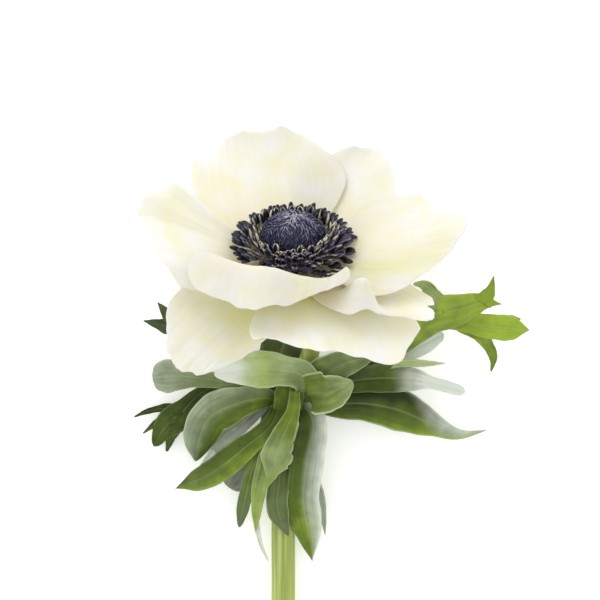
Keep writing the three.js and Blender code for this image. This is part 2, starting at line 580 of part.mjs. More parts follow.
// Rings of stamens, the outer ones low and leaning out, fused to a collar round the pistils.
function stamensGeometry() {
  const profile = [
    [COLLAR_HOLE, COLLAR_BOTTOM], [COLLAR_RADIUS, COLLAR_BOTTOM], [COLLAR_RADIUS, COLLAR_TOP],
    [COLLAR_LEVEL_FROM, COLLAR_TOP], [COLLAR_HOLE, COLLAR_INNER_TOP], [COLLAR_HOLE, COLLAR_BOTTOM],
  ].map(([radius, height]) => new THREE.Vector2(radius, height));
  const collar = new THREE.LatheGeometry(profile, 36).rotateX(Math.PI / 2);
  const rings = [
    { count: 24, reach: 14.2, height: 4.1 },
    { count: 20, reach: 12.4, height: 5.9 },
    { count: 14, reach: 10.9, height: 7.1 },
  ];
  const random = randomSource(STAMEN_SEED);
  const pieces = [collar];
  const scattered = (span) => span * (random() - 0.5);
  rings.forEach((ring, level) => {
    for (let k = 0; k < ring.count; k += 1) {
      const place = k + 0.5 * level + scattered(STAMEN_SCATTER.turn);
      const reach = ring.reach + scattered(STAMEN_SCATTER.reach);
      const height = ring.height + scattered(STAMEN_SCATTER.height);
      pieces.push(stamenGeometry((2 * Math.PI * place) / ring.count, reach, height));
    }
  });
  return fuse(pieces);
}

const bloom = new THREE.Group();
bloom.position.copy(BLOOM_CENTRE);
bloom.rotation.x = -radians(BLOOM_LEAN);
for (const [name, tepal] of Object.entries(TEPALS)) {
  bloom.add(meshOf(name, tepalGeometry(tepal), COLOURS.tepal));
}
bloom.add(meshOf('pistil', pistilGeometry(), COLOURS.pistil));
bloom.add(meshOf('stamens', stamensGeometry(), COLOURS.stamen));

const flower = new THREE.Group();
flower.position.copy(OUTLINE_MIDDLE).negate();
flower.add(bloom);
flower.add(meshOf('stem', stemGeometry(), COLOURS.stem));
flower.add(meshOf('bract_front', bractGeometry(90, FRONT_LOBES), COLOURS.bract));
flower.add(meshOf('bract_left', bractGeometry(210, LEFT_LOBES), COLOURS.bract));
flower.add(meshOf('bract_right', bractGeometry(-30, RIGHT_LOBES), COLOURS.bract));

export default flower;
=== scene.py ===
"""A white anemone, cut and laid down on a pale floor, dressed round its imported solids.

Sizes and places are in millimetres and degrees. They are measured from the point of the floor
under the bloom, as the solids are, and Surface.to_object turns them into the part's metres.
"""
import logging
from dataclasses import astuple, dataclass, field
from enum import Enum

import bpy
import numpy as np
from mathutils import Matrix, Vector


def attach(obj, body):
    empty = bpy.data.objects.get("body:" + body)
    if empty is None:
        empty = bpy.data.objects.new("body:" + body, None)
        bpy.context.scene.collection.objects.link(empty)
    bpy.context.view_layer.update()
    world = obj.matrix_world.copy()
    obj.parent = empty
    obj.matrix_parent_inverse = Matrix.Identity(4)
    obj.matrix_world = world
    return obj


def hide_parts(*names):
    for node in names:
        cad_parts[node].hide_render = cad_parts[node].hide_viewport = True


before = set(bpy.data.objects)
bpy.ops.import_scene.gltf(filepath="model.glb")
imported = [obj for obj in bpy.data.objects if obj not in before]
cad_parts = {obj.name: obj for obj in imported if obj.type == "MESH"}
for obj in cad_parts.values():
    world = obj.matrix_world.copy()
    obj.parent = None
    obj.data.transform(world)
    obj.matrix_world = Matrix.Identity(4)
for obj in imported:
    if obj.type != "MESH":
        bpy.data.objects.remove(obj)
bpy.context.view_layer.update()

log = logging.getLogger("anemone")

MM = 0.001
# The middle of the flower's outline on the floor, and where its bracts clasp the stem.
OUTLINE_MIDDLE = np.array([10.2, -63.5, 0.0])
CLASP = np.array([-0.4, -36.9, 5.0])
UP = np.array([0.0, 0.0, 1.0])
UV_MAP = "blade"


def ease(low: float | np.ndarray, high: float | np.ndarray, values: np.ndarray) -> np.ndarray:
    """A rise from 0 to 1 between two values, level at both ends: 3t² − 2t³."""
    share = np.clip((values - low) / (high - low), 0, 1)
    return share * share * (3 - 2 * share)


def across(values: tuple[float, ...], v: np.ndarray) -> np.ndarray:
    """Reads a smooth curve through equally spaced values.

    The curve is cubic between neighbours, and its slope at a value is half the step from the
    value before it to the value after it.

    Args:
        values: the values that the curve passes through, from v = -1 to v = 1.
        v: where it is read.

    Returns:
        The curve's value at each v.
    """
    held = np.array([values[0], *values, values[-1]], float)
    place = (v + 1) / 2 * (len(values) - 1)
    i = np.clip(np.floor(place).astype(int), 0, len(values) - 2)
    f = place - i
    before, here, there, after = held[i], held[i + 1], held[i + 2], held[i + 3]
    start, end, drop = (there - before) / 2, (after - here) / 2, here - there
    return here + f * (start + f * (-3 * drop - 2 * start - end + f * (start + end + 2 * drop)))


def smooth_path(points: np.ndarray, shares: np.ndarray) -> np.ndarray:
    """Samples a centripetal Catmull-Rom curve by its own length.

    Between two points the curve is the cubic whose end slopes come from knots spaced by the
    square root of the distance between neighbours. It is first read densely, and then again at
    the wanted shares of the summed length.

    Args:
        points: the points that the curve passes through, one a row.
        shares: shares of the whole length, from 0 to 1.

    Returns:
        A point for each share.
    """
    held = np.vstack([2 * points[0] - points[1], points, 2 * points[-1] - points[-2]])
    a, b, c, d = held[:-3], held[1:-2], held[2:-1], held[3:]
    gap = [np.linalg.norm(q - p, axis=1, keepdims=True) ** 0.5 for p, q in ((a, b), (b, c), (c, d))]
    start = ((b - a) / gap[0] - (c - a) / (gap[0] + gap[1]) + (c - b) / gap[1]) * gap[1]
    end = ((c - b) / gap[1] - (d - b) / (gap[1] + gap[2]) + (d - c) / gap[2]) * gap[1]
    f = np.linspace(0, 1, 60, endpoint=False)[None, :, None]
    cubic = 2 * (b - c) + start + end
    square = -3 * (b - c) - 2 * start - end
    painted_shade_and_light = b[:, None] + f * (start[:, None] + f * (square[:, None] + f * cubic[:, None]))
    painted_shade_and_light = np.vstack([painted_shade_and_light.reshape(-1, 3), points[-1]])
    length = np.concatenate([[0], np.cumsum(np.linalg.norm(np.diff(painted_shade_and_light, axis=0), axis=1))])
    return np.stack([np.interp(shares * length[-1], length, column) for column in painted_shade_and_light.T], axis=-1)


def unit(vectors: np.ndarray) -> np.ndarray:
    """Each vector at length 1."""
    return vectors / np.maximum(np.linalg.norm(vectors, axis=-1, keepdims=True), 1e-9)


def around(azimuth: np.ndarray) -> np.ndarray:
    """The level unit vector at each azimuth: its cosine, its sine and 0."""
    return np.stack([np.cos(azimuth), np.sin(azimuth), np.zeros_like(azimuth)], axis=-1)


def even_turns(sides: int) -> np.ndarray:
    """The middle of each of so many equal shares of a full turn."""
    return 2 * np.pi * (np.arange(sides) + 0.5) / sides


def waves(place: np.ndarray, counts: tuple[float, ...], seed: int) -> np.ndarray:
    """A restless line: sines of the given counts over a length of 2, each half as tall as its rank.

    Args:
        place: where it is read, usually from -1 to 1.
        counts: how many waves each sine makes, the tallest first.
        seed: what draws their phases.

    Returns:
        The sum of sin(pi · count · place + phase) / rank.
    """
    phases = np.random.default_rng(seed).uniform(0, 2 * np.pi, len(counts))
    return sum(
        np.sin(np.pi * count * place + phase) / rank
        for rank, (count, phase) in enumerate(zip(counts, phases), 1)
    )


def add_object(name: str, data: bpy.types.ID) -> bpy.types.Object:
    """Adds an object to the scene.

    Args:
        name: the object's name.
        data: the mesh, lamp or camera that it shows.

    Returns:
        The object.
    """
    added = bpy.data.objects.new(name, data)
    bpy.context.scene.collection.objects.link(added)
    return added


@dataclass
class Surface:
    """A mesh in the making, in millimetres, with a UV and named tones at every point."""

    points: np.ndarray
    quads: np.ndarray
    uv: np.ndarray
    tones: dict[str, np.ndarray]
    triangles: np.ndarray = field(default_factory=lambda: np.empty((0, 3), int))

    @staticmethod
    def joined(parts: list["Surface"]) -> "Surface":
        """Puts closed surfaces into one mesh.

        Args:
            parts: the surfaces, all with the same tones.

        Returns:
            One surface that holds them all.
        """
        starts = np.cumsum([0] + [len(part.points) for part in parts[:-1]])
        return Surface(
            np.vstack([part.points for part in parts]),
            np.vstack([part.quads + start for part, start in zip(parts, starts)]),
            np.vstack([part.uv for part in parts]),
            {tone: np.concatenate([part.tones[tone] for part in parts]) for tone in parts[0].tones},
            np.vstack([part.triangles + start for part, start in zip(parts, starts)]),
        )

    def to_object(self, name: str, finish: bpy.types.Material, slot: str, *nodes: str) -> None:
        """Makes the Blender piece, in the part's metres, and says what it stands for.

        Args:
            name: the piece's name.
            finish: its material.
            slot: the record's material slot named for the piece; not used.
            nodes: the solids that it replaces.
        """
        mesh = bpy.data.meshes.new(name)
        places = (self.points - OUTLINE_MIDDLE) * MM
        mesh.from_pydata(places.tolist(), [], self.quads.tolist() + self.triangles.tolist())
        corners = np.empty(len(mesh.loops), np.int32)
        mesh.loops.foreach_get("vertex_index", corners)
        layer = mesh.uv_layers.new(name=UV_MAP)
        layer.data.foreach_set("uv", self.uv[corners].astype(np.float32).ravel())
        for tone, values in self.tones.items():
            attribute = mesh.attributes.new(tone, "FLOAT", "POINT")
            attribute.data.foreach_set("value", values.astype(np.float32).ravel())
        mesh.shade_smooth()
        mesh.materials.append(finish)
        piece = add_object(name, mesh)
        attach(piece, "root")
        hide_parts(*nodes)
        log.info("%s: %d points, stands for %s", name, len(self.points), ", ".join(nodes))


def closed_sheet(upper: np.ndarray, lower: np.ndarray, tones: dict[str, np.ndarray]) -> Surface:
    """Closes two grids of points into a thin body.

    The upper grid's quads run down the rows and then across the columns, the lower grid's the
    other way round, and a strip of quads joins the two grids along the rim.

    Args:
        upper: the upper face's points, as rows, columns and x, y, z.
        lower: the lower face's points, in the same order.
        tones: named values at each point of the grid.

    Returns:
        The closed surface. Its UV is the share of the columns and of the rows, and its tone
        "under" is 1 on the lower face.
    """
    rows, columns = upper.shape[:2]
    count = rows * columns
    number = np.arange(count).reshape(rows, columns)
    top = np.stack([number[:-1, :-1], number[1:, :-1], number[1:, 1:], number[:-1, 1:]], axis=-1)
    top = top.reshape(-1, 4)
    rim = np.concatenate([number[:, 0], number[-1, 1:], number[-2::-1, -1], number[0, -2:0:-1]])
    beyond = np.roll(rim, -1)
    strip = np.stack([beyond, rim, rim + count, beyond + count], axis=-1)
    along, beside = np.meshgrid(np.linspace(0, 1, rows), np.linspace(0, 1, columns), indexing="ij")
    both = {tone: np.tile(np.broadcast_to(values, (rows, columns)).ravel(), 2)
            for tone, values in tones.items()}
    both["under"] = np.repeat([0.0, 1.0], count)
    return Surface(
        np.vstack([upper.reshape(-1, 3), lower.reshape(-1, 3)]),
        np.vstack([top, top[:, ::-1] + count, strip]),
        np.tile(np.stack([beside.ravel(), along.ravel()], axis=-1), (2, 1)),
        both,
    )


def rods(paths: np.ndarray, radii: np.ndarray, sideways: np.ndarray, section: np.ndarray,
         tones: dict[str, np.ndarray]) -> Surface:
    """Carries a closed section along many paths at once, with a pole at both ends.

    A point is the path's point plus radius times section share times (cosine of its turn times
    the side direction plus sine of its turn times the direction square to side and path).

    Args:
        paths: the paths' points, as rods, steps and x, y, z.
        radii: a radius for each rod and step.
        sideways: for each rod, the direction in which a turn of 0 points.
        section: the section's share of the radius at each of its equally spaced turns.
        tones: named values for each rod, step and turn, or fewer of these.

    Returns:
        The closed rods. Their UV is the share of the turn and of the path.
    """
    many, steps, sides = paths.shape[0], paths.shape[1], len(section)
    forward = unit(np.gradient(paths, axis=1))
    held = sideways[:, None]
    first = unit(held - forward * np.sum(held * forward, axis=-1, keepdims=True))
    second = np.cross(forward, first)
    turn = even_turns(sides)
    flat = section * np.stack([np.cos(turn), np.sin(turn)])
    out = first[:, :, None] * flat[0][:, None] + second[:, :, None] * flat[1][:, None]
    rings = paths[:, :, None] + radii[:, :, None, None] * out
    number = np.arange(many * steps * sides).reshape(many, steps, sides)
    after = np.roll(number, -1, axis=2)
    quads = np.stack([number[:, :-1], after[:, :-1], after[:, 1:], number[:, 1:]], axis=-1)
    start = number.size + np.arange(many)[:, None] + np.zeros(sides, int)
    end = start + many
    caps = [np.stack([start, after[:, 0], number[:, 0]], axis=-1),
            np.stack([end, number[:, -1], after[:, -1]], axis=-1)]
    share = np.broadcast_to(np.linspace(0, 1, steps)[:, None], (many, steps, sides))
    turned = np.broadcast_to(turn / (2 * np.pi), (many, steps, sides))
    uv = np.stack([turned, share], axis=-1).reshape(-1, 2)
    full = {}
    for tone, values in tones.items():
        grown = np.array(values, float).reshape(values.shape + (1,) * (3 - values.ndim))
        grown = np.broadcast_to(grown, (many, steps, sides))
        full[tone] = np.concatenate([grown.ravel(), grown[:, 0].mean(axis=1), grown[:, -1].mean(axis=1)])
    return Surface(
        np.vstack([rings.reshape(-1, 3), paths[:, 0], paths[:, -1]]),
        quads.reshape(-1, 4),
        np.vstack([uv, np.full((many, 2), [0.5, 0.0]), np.full((many, 2), [0.5, 1.0])]),
        full,
        np.vstack(caps).reshape(-1, 3),
    )


def turned_ring(profile: np.ndarray, sides: int, tones: dict[str, float]) -> Surface:
    """Turns a closed profile round the upright axis.

    Args:
        profile: radius and height of each point, running up the outside.
        sides: how many copies of the profile the turn has.
        tones: one value for the whole ring under each name.

    Returns:
        The closed ring.
    """
    way = around(2 * np.pi * np.arange(sides) / sides)
    points = way[:, None] * profile[:, :1] + UP * profile[:, 1:]
    number = np.arange(sides * len(profile)).reshape(sides, -1)
    beside, above = np.roll(number, -1, axis=0), np.roll(number, -1, axis=1)
    both = np.roll(beside, -1, axis=1)
    quads = np.stack([number, beside, both, above], axis=-1).reshape(-1, 4)
    flat = points.reshape(-1, 3)
    whole = {tone: np.full(len(flat), value) for tone, value in tones.items()}
    return Surface(flat, quads, np.zeros((len(flat), 2)), whole)


def linear(code: str) -> tuple[float, float, float, float]:
    """An sRGB hex colour as linear red, green, blue and an alpha of 1.

    Args:
        code: the colour, such as "#F5F2E2".

    Returns:
        The four numbers that a colour socket takes.
    """
    values = np.array([int(code[i:i + 2], 16) for i in (1, 3, 5)]) / 255
    values = np.where(values <= 0.04045, values / 12.92, ((values + 0.055) / 1.055) ** 2.4)
    return (*values.tolist(), 1.0)


class NodeTree:
    """The node tree of a material or of the world, in the making.

    Inputs go by number where that is shorter or a name occurs twice: 0 to 2 are a Math node's
    values, 0 a Mix's factor and 6 and 7 its colours, and 0 a Map Range's value and 1 to 4 its
    limits, from and to.
    """

    def __init__(self, owner: bpy.types.Material | bpy.types.World) -> None:
        """Starts from an empty tree.

        Args:
            owner: the material or the world that the tree belongs to.
        """
        owner.use_nodes = True
        self.owner = owner
        self.tree = owner.node_tree
        self.tree.nodes.clear()

    def add(self, kind: str, inputs: dict | None = None, out: str = "",
            **settings: object) -> bpy.types.NodeSocket | None:
        """Adds a node, sets it and fills its inputs.

        Args:
            kind: the node's type, without the "ShaderNode" before it.
            inputs: for an input's name or number, its value or the socket that feeds it.
            out: the wanted output's name, or nothing for the first output in use.
            settings: the node's own properties. stops gives a colour ramp's places and colours.

        Returns:
            The wanted output, or None where the node has none.
        """
        node = self.tree.nodes.new("ShaderNode" + kind)
        stops = settings.pop("stops", None)
        for name, value in settings.items():
            setattr(node, name, value)
        if stops:
            elements = node.color_ramp.elements
            while len(elements) < len(stops):
                elements.new(1.0)
            for element, (place, colour) in zip(elements, stops):
                element.position = place
                element.color = linear(colour)
        for name, value in (inputs or {}).items():
            socket = node.inputs[name]
            if isinstance(value, bpy.types.NodeSocket):
                self.tree.links.new(value, socket)
            else:
                socket.default_value = value
        return node.outputs[out] if out else next((one for one in node.outputs if one.enabled), None)

    def finish(self, colour: bpy.types.NodeSocket, height: bpy.types.NodeSocket, depth: float,
               strength: float, surface: dict) -> bpy.types.Material:
        """Ends a material: its colour and its relief go into one surface.

        Args:
            colour: the colour.
            height: the relief's height, from 0 to 1.
            depth: the relief's depth in millimetres.
            strength: how much of the relief shows, from 0 to 1.
            surface: what else the Principled surface is set to.

        Returns:
            The finished material.
        """
        relief = self.add("Bump", {"Height": height, "Distance": depth * MM, "Strength": strength})
        shader = self.add("BsdfPrincipled", {"Base Color": colour, "Normal": relief, **surface})
        self.add("OutputMaterial", {"Surface": shader})
        return self.owner


@dataclass(frozen=True)
class TepalTissue:
    """Tepal tissue: a few layers of thin-walled, water-filled cells under a fine waxy skin.

    It grew that way, so light soaks in and comes out softened, and faint veins fan out lengthwise.
    """

    white: str = "#ECEAE3"
    cream: str = "#EBE4C7"
    # yellow is painted shade, laid over broad lengthwise bands as if the sheet were shaded in its creases.
    yellow: str = "#DEDDA8"
    warm: str = "#EBDFBC"
    # green is painted shade: the yellow-green of shaded creases and overlaps, and of claws that lie under
    # other tepals.
    green: str = "#DBDC92"
    vein_count: float = 70.0
    fold_shade_count: float = 7.0
    mottle: float = 9.0
    roughness: float = 0.55
    ior: float = 1.4
    soak: float = 2.0
    relief: float = 0.12

    def material(self) -> bpy.types.Material:
        """Builds the material.

        Returns:
            The material: white and cream in patches as wide as the mottle, yellower in broad
            lengthwise bands of painted crease shade, warm towards the claw by the tone "along" as the
            tissue's own hue, green there instead as painted shade on tepals whose claw tone asks for it,
            greener by the spots of painted yellow-green shade, darker by a tone of painted shade that is
            painted light where it is negative, with lengthwise veins on the UV map.
        """
        nodes = NodeTree(bpy.data.materials.new("tepal_tissue"))
        uv = nodes.add("UVMap", uv_map=UV_MAP)
        place = nodes.add("TexCoord", out="Object")
        along, claw_hue_and_shade, shade_spot, painted_shade_and_light = (nodes.add("Attribute", out="Fac", attribute_name=tone)
                                     for tone in ("along", "claw_hue_and_shade", "shade_spot", "painted_shade_and_light"))
        fine = nodes.add("Mapping", {"Vector": uv, "Scale": (self.vein_count, 2.5, 1)})
        veins = nodes.add("TexNoise", {"Vector": fine, "Scale": 1.0, "Detail": 3.0, "Distortion": 0.3})
        # Painted shade: broad lengthwise bands, placed by noise, turn yellower as if shaded in creases.
        broad = nodes.add("Mapping", {"Vector": uv, "Scale": (self.fold_shade_count, 1.6, 1)})
        fold_shade = nodes.add("TexNoise", {"Vector": broad, "Scale": 1.0, "Detail": 2.0})
        mottle = nodes.add("TexNoise", {"Vector": place, "Scale": 1 / (self.mottle * MM), "Detail": 2.0})
        mottled = nodes.add("ValToRGB", {0: mottle}, stops=[(0.35, self.white), (0.7, self.cream)])
        folded = nodes.add("MapRange", {0: fold_shade, 1: 0.5, 2: 0.75, 3: 0.0, 4: 0.2})
        yellowed = nodes.add("Mix", {0: folded, 6: mottled, 7: linear(self.yellow)}, data_type="RGBA")
        # Near the claw the colour turns warm, the tissue's own hue; on tepals marked for it, it turns green
        # and reaches further out, which is painted shade under the upper tepals.
        claw = nodes.add("Mix", {0: claw_hue_and_shade, 6: linear(self.warm), 7: linear(self.green)}, data_type="RGBA")
        far = nodes.add("Math", {0: claw_hue_and_shade, 1: 0.17, 2: 0.75}, operation="MULTIPLY_ADD")
        near = nodes.add("MapRange", {0: along, 1: 0.1, 2: far, 3: 0.85, 4: 0.0},
                         interpolation_type="SMOOTHSTEP")
        flushed = nodes.add("Mix", {0: near, 6: yellowed, 7: claw}, data_type="RGBA")
        # Painted shade: greener under the spots of yellow-green shade.
        tinted = nodes.add("Mix", {0: shade_spot, 6: flushed, 7: linear(self.green)}, data_type="RGBA")
        veined = nodes.add("MapRange", {0: veins, 1: 0.3, 2: 0.7, 3: 0.965, 4: 1.0})
        # Painted shade: darker by the darkening tone, and lighter where it is negative, which is painted
        # light.
        shade = nodes.add("Math", {0: veined, 1: painted_shade_and_light}, operation="SUBTRACT")
        colour = nodes.add("Mix", {0: 1.0, 6: tinted, 7: shade}, data_type="RGBA", blend_type="MULTIPLY")
        return nodes.finish(colour, veins, self.relief, 0.3, {
            "Roughness": self.roughness, "IOR": self.ior, "Subsurface Weight": 0.5,
            "Subsurface Radius": (1.0, 0.95, 0.7), "Subsurface Scale": self.soak * MM,
        })


@dataclass(frozen=True)
class LeafBlade:
    """Leaf blade: green tissue under a waxy bloom, with a midrib and veins that run to the tip.

    It grew folded in the bud, so it keeps lengthwise furrows and a paler underside. Its light edge
    is a painted highlight, and its green and its bloom also carry painted shade and light.
    """

    # From deep to light, the green is the tissue's own tone and also painted shade and light.
    deep: str = "#2E3A17"
    middle: str = "#5E7228"
    green_and_light: str = "#9DB63C"
    # The pale bloom colour is the glaucous bloom and also painted highlight.
    bloom_and_highlight: str = "#E0E6DC"
    # rim is the colour of a painted highlight along the edges.
    rim: str = "#D6E0B6"
    under: str = "#84956A"
    furrow_count: float = 6.0
    mottle: float = 4.0
    patchiness: float = 0.26
    roughness: float = 0.6
    sheen: float = 0.22
    ior: float = 1.43
    soak: float = 0.5
    relief: float = 0.2

    def material(self) -> bpy.types.Material:
        """Builds the material.

        Returns:
            The material: green by the tone "fresh", waxed by the tone "wax", paler on the
            underside, with lengthwise furrows on the UV map, a light midrib, and a light rim as
            strong as the tone "rim".
        """
        nodes = NodeTree(bpy.data.materials.new("leaf_blade"))
        uv = nodes.add("UVMap", uv_map=UV_MAP)
        place = nodes.add("TexCoord", out="Object")
        green_and_light, bloom_and_highlight, under, beside, rim = (nodes.add("Attribute", out="Fac", attribute_name=tone)
                                          for tone in ("green_and_light", "bloom_and_highlight", "under", "beside", "rim"))
        drawn = nodes.add("Mapping", {"Vector": uv, "Scale": (self.furrow_count, 1.4, 1)})
        furrows = nodes.add("TexNoise", {"Vector": drawn, "Scale": 1.0, "Detail": 3.0, "Distortion": 1.2})
        mottle = nodes.add("TexNoise", {"Vector": place, "Scale": 1 / (self.mottle * MM), "Detail": 3.0})
        spread = nodes.add("Math", {0: furrows, 1: 0.5}, operation="SUBTRACT")
        patches = nodes.add("MapRange", {0: mottle, 3: -self.patchiness, 4: self.patchiness})
        # Painted shade and light, with the tissue's own tone: low green tones darken the green, high ones
        # lighten it.
        blotched = nodes.add("Math", {0: patches, 1: green_and_light}, operation="ADD")
        toned = nodes.add("Math", {0: spread, 1: 0.38, 2: blotched}, operation="MULTIPLY_ADD")
        green = nodes.add("ValToRGB", {0: toned},
                          stops=[(0.0, self.deep), (0.5, self.middle), (1.0, self.green_and_light)])
        patchy = nodes.add("Math", {0: mottle, 1: furrows}, operation="ADD")
        # The glaucous bloom, also laid on as painted highlight and as painted light on lobes in shade.
        waxed_by = nodes.add("Math", {0: patchy, 1: bloom_and_highlight}, operation="MULTIPLY", use_clamp=True)
        paled = nodes.add("Math", {0: under, 1: 0.6}, operation="MULTIPLY")
        below = nodes.add("Mix", {0: paled, 6: green, 7: linear(self.under)}, data_type="RGBA")
        waxed = nodes.add("Mix", {0: waxed_by, 6: below, 7: linear(self.bloom_and_highlight)}, data_type="RGBA")
        rib = nodes.add("MapRange", {0: beside, 1: 0.02, 2: 0.09, 3: 0.12, 4: 0.0})
        # Painted highlight: a light band along both edges, as strong as the tone "rim".
        edge = nodes.add("MapRange", {0: beside, 1: 0.88, 2: 0.97, 3: 0.0, 4: 1.0})
        light = nodes.add("Math", {0: edge, 1: rim, 2: rib}, operation="MULTIPLY_ADD", use_clamp=True)
        colour = nodes.add("Mix", {0: light, 6: waxed, 7: linear(self.rim)}, data_type="RGBA")
        return nodes.finish(colour, furrows, self.relief, 0.2, {
            "Roughness": self.roughness, "IOR": self.ior, "Specular IOR Level": self.sheen,
            "Subsurface Weight": 0.08, "Subsurface Radius": (0.5, 1.0, 0.2),
            "Subsurface Scale": self.soak * MM,
        })


@dataclass(frozen=True)
class StemSkin:
    """Stem skin: a watery green rind over white pith, with fine ribs from end to end.

    It grew in one pull, so its streaks of yellow and pale green run the whole length.
    """

    pale: str = "#BDCA80"
    green: str = "#A3B35A"
    shaded: str = "#8A9A4B"
    pith: str = "#E6E8CC"
    streak: float = 0.9
    stretch: float = 40.0
    roughness: float = 0.42
    ior: float = 1.42
    soak: float = 1.5
    relief: float = 0.15

    def material(self) -> bpy.types.Material:
        """Builds the material.

        Returns:
            The material: streaks drawn out along the stem on its own Object coordinates, and the
            pith's colour where the tone "pith" is 1.
        """
        nodes = NodeTree(bpy.data.materials.new("stem_skin"))
        place = nodes.add("TexCoord", out="Object")
        pith = nodes.add("Attribute", out="Fac", attribute_name="pith")
        scale = 1 / (self.streak * MM)
        drawn = nodes.add("Mapping", {"Vector": place, "Scale": (scale, scale / self.stretch, scale)})
        streaks = nodes.add("TexNoise", {"Vector": drawn, "Scale": 1.0, "Detail": 3.0})
        skin = nodes.add("ValToRGB", {0: streaks},
                         stops=[(0.32, self.shaded), (0.5, self.green), (0.68, self.pale)])
        colour = nodes.add("Mix", {0: pith, 6: skin, 7: linear(self.pith)}, data_type="RGBA")
        return nodes.finish(colour, streaks, self.relief, 0.5, {
            "Roughness": self.roughness, "IOR": self.ior, "Subsurface Weight": 0.2,
            "Subsurface Radius": (0.9, 1.0, 0.4), "Subsurface Scale": self.soak * MM,
        })


@dataclass(frozen=True)
class CentreTissue:
    """Tissue of the flower's centre: pollen sacs and styles dyed nearly black with blue pigment.

    It grew dark with pale filaments and seams, so its colour runs from ink to cream; on the styles the
    pale end also holds a painted highlight over the top of the dome. Its cells are far finer than the
    render can show, so the grain that stands for them is drawn coarser.
    """

    name: str
    stops: tuple[tuple[float, str], ...]
    roughness: float
    sheen: float = 0.5
    grain: float = 0.5
    relief: float = 0.08

    def material(self) -> bpy.types.Material:
        """Builds the material.

        Returns:
            The material: a ramp read by the tone "pale", broken up by a fine grain.
        """
        nodes = NodeTree(bpy.data.materials.new(self.name))
        place = nodes.add("TexCoord", out="Object")
        pale = nodes.add("Attribute", out="Fac", attribute_name="pale")
        grain = nodes.add("TexNoise", {"Vector": place, "Scale": 1 / (self.grain * MM), "Detail": 2.0})
        spread = nodes.add("Math", {0: grain, 1: 0.5}, operation="SUBTRACT")
        toned = nodes.add("Math", {0: spread, 1: 0.3, 2: pale}, operation="MULTIPLY_ADD")
        colour = nodes.add("ValToRGB", {0: toned}, stops=self.stops)
        return nodes.finish(colour, grain, self.relief, 0.6,
                            {"Roughness": self.roughness, "Specular IOR Level": self.sheen})


@dataclass(frozen=True)
class BloomFrame:
    """The bloom's own frame: its middle, and how far its axis leans from the vertical."""

    centre: tuple[float, float, float] = (0.3, 2.1, 25.0)
    lean: float = 54.0

    def placed(self, points: np.ndarray) -> np.ndarray:
        """Turns points of the bloom's frame by the lean, away from the viewer, and sets them down.

        Args:
            points: x to the right, y to the back and z along the bloom's axis.

        Returns:
            The points over the floor: y and z turned by the lean round x, plus the middle.
        """
        lean = np.radians(self.lean)
        x, y, z = np.moveaxis(points, -1, 0)
        back = y * np.cos(lean) + z * np.sin(lean)
        up = z * np.cos(lean) - y * np.sin(lean)
        return np.stack([x, back, up], axis=-1) + np.array(self.centre)

    def set_down(self, surface: Surface) -> Surface:
        """Moves a whole surface from the bloom's frame to the floor's."""
        surface.points = self.placed(surface.points)
        return surface


class Fold(Enum):
    """What a tepal's sheet does besides its bowl."""

    NONE = "none"
    LIP = "stands up round the stamens and rolls over"
    HORN = "one fold stands up in a horn"


class Flush(Enum):
    """The colour that a tepal has near its claw: warm is the tissue's own hue, and green is painted shade
    where the tepal lies under the upper ones.
    """

    WARM = 0.0
    # Painted shade: the yellow-green of a claw in the shade of the upper tepals.
    SHADE_GREEN = 1.0


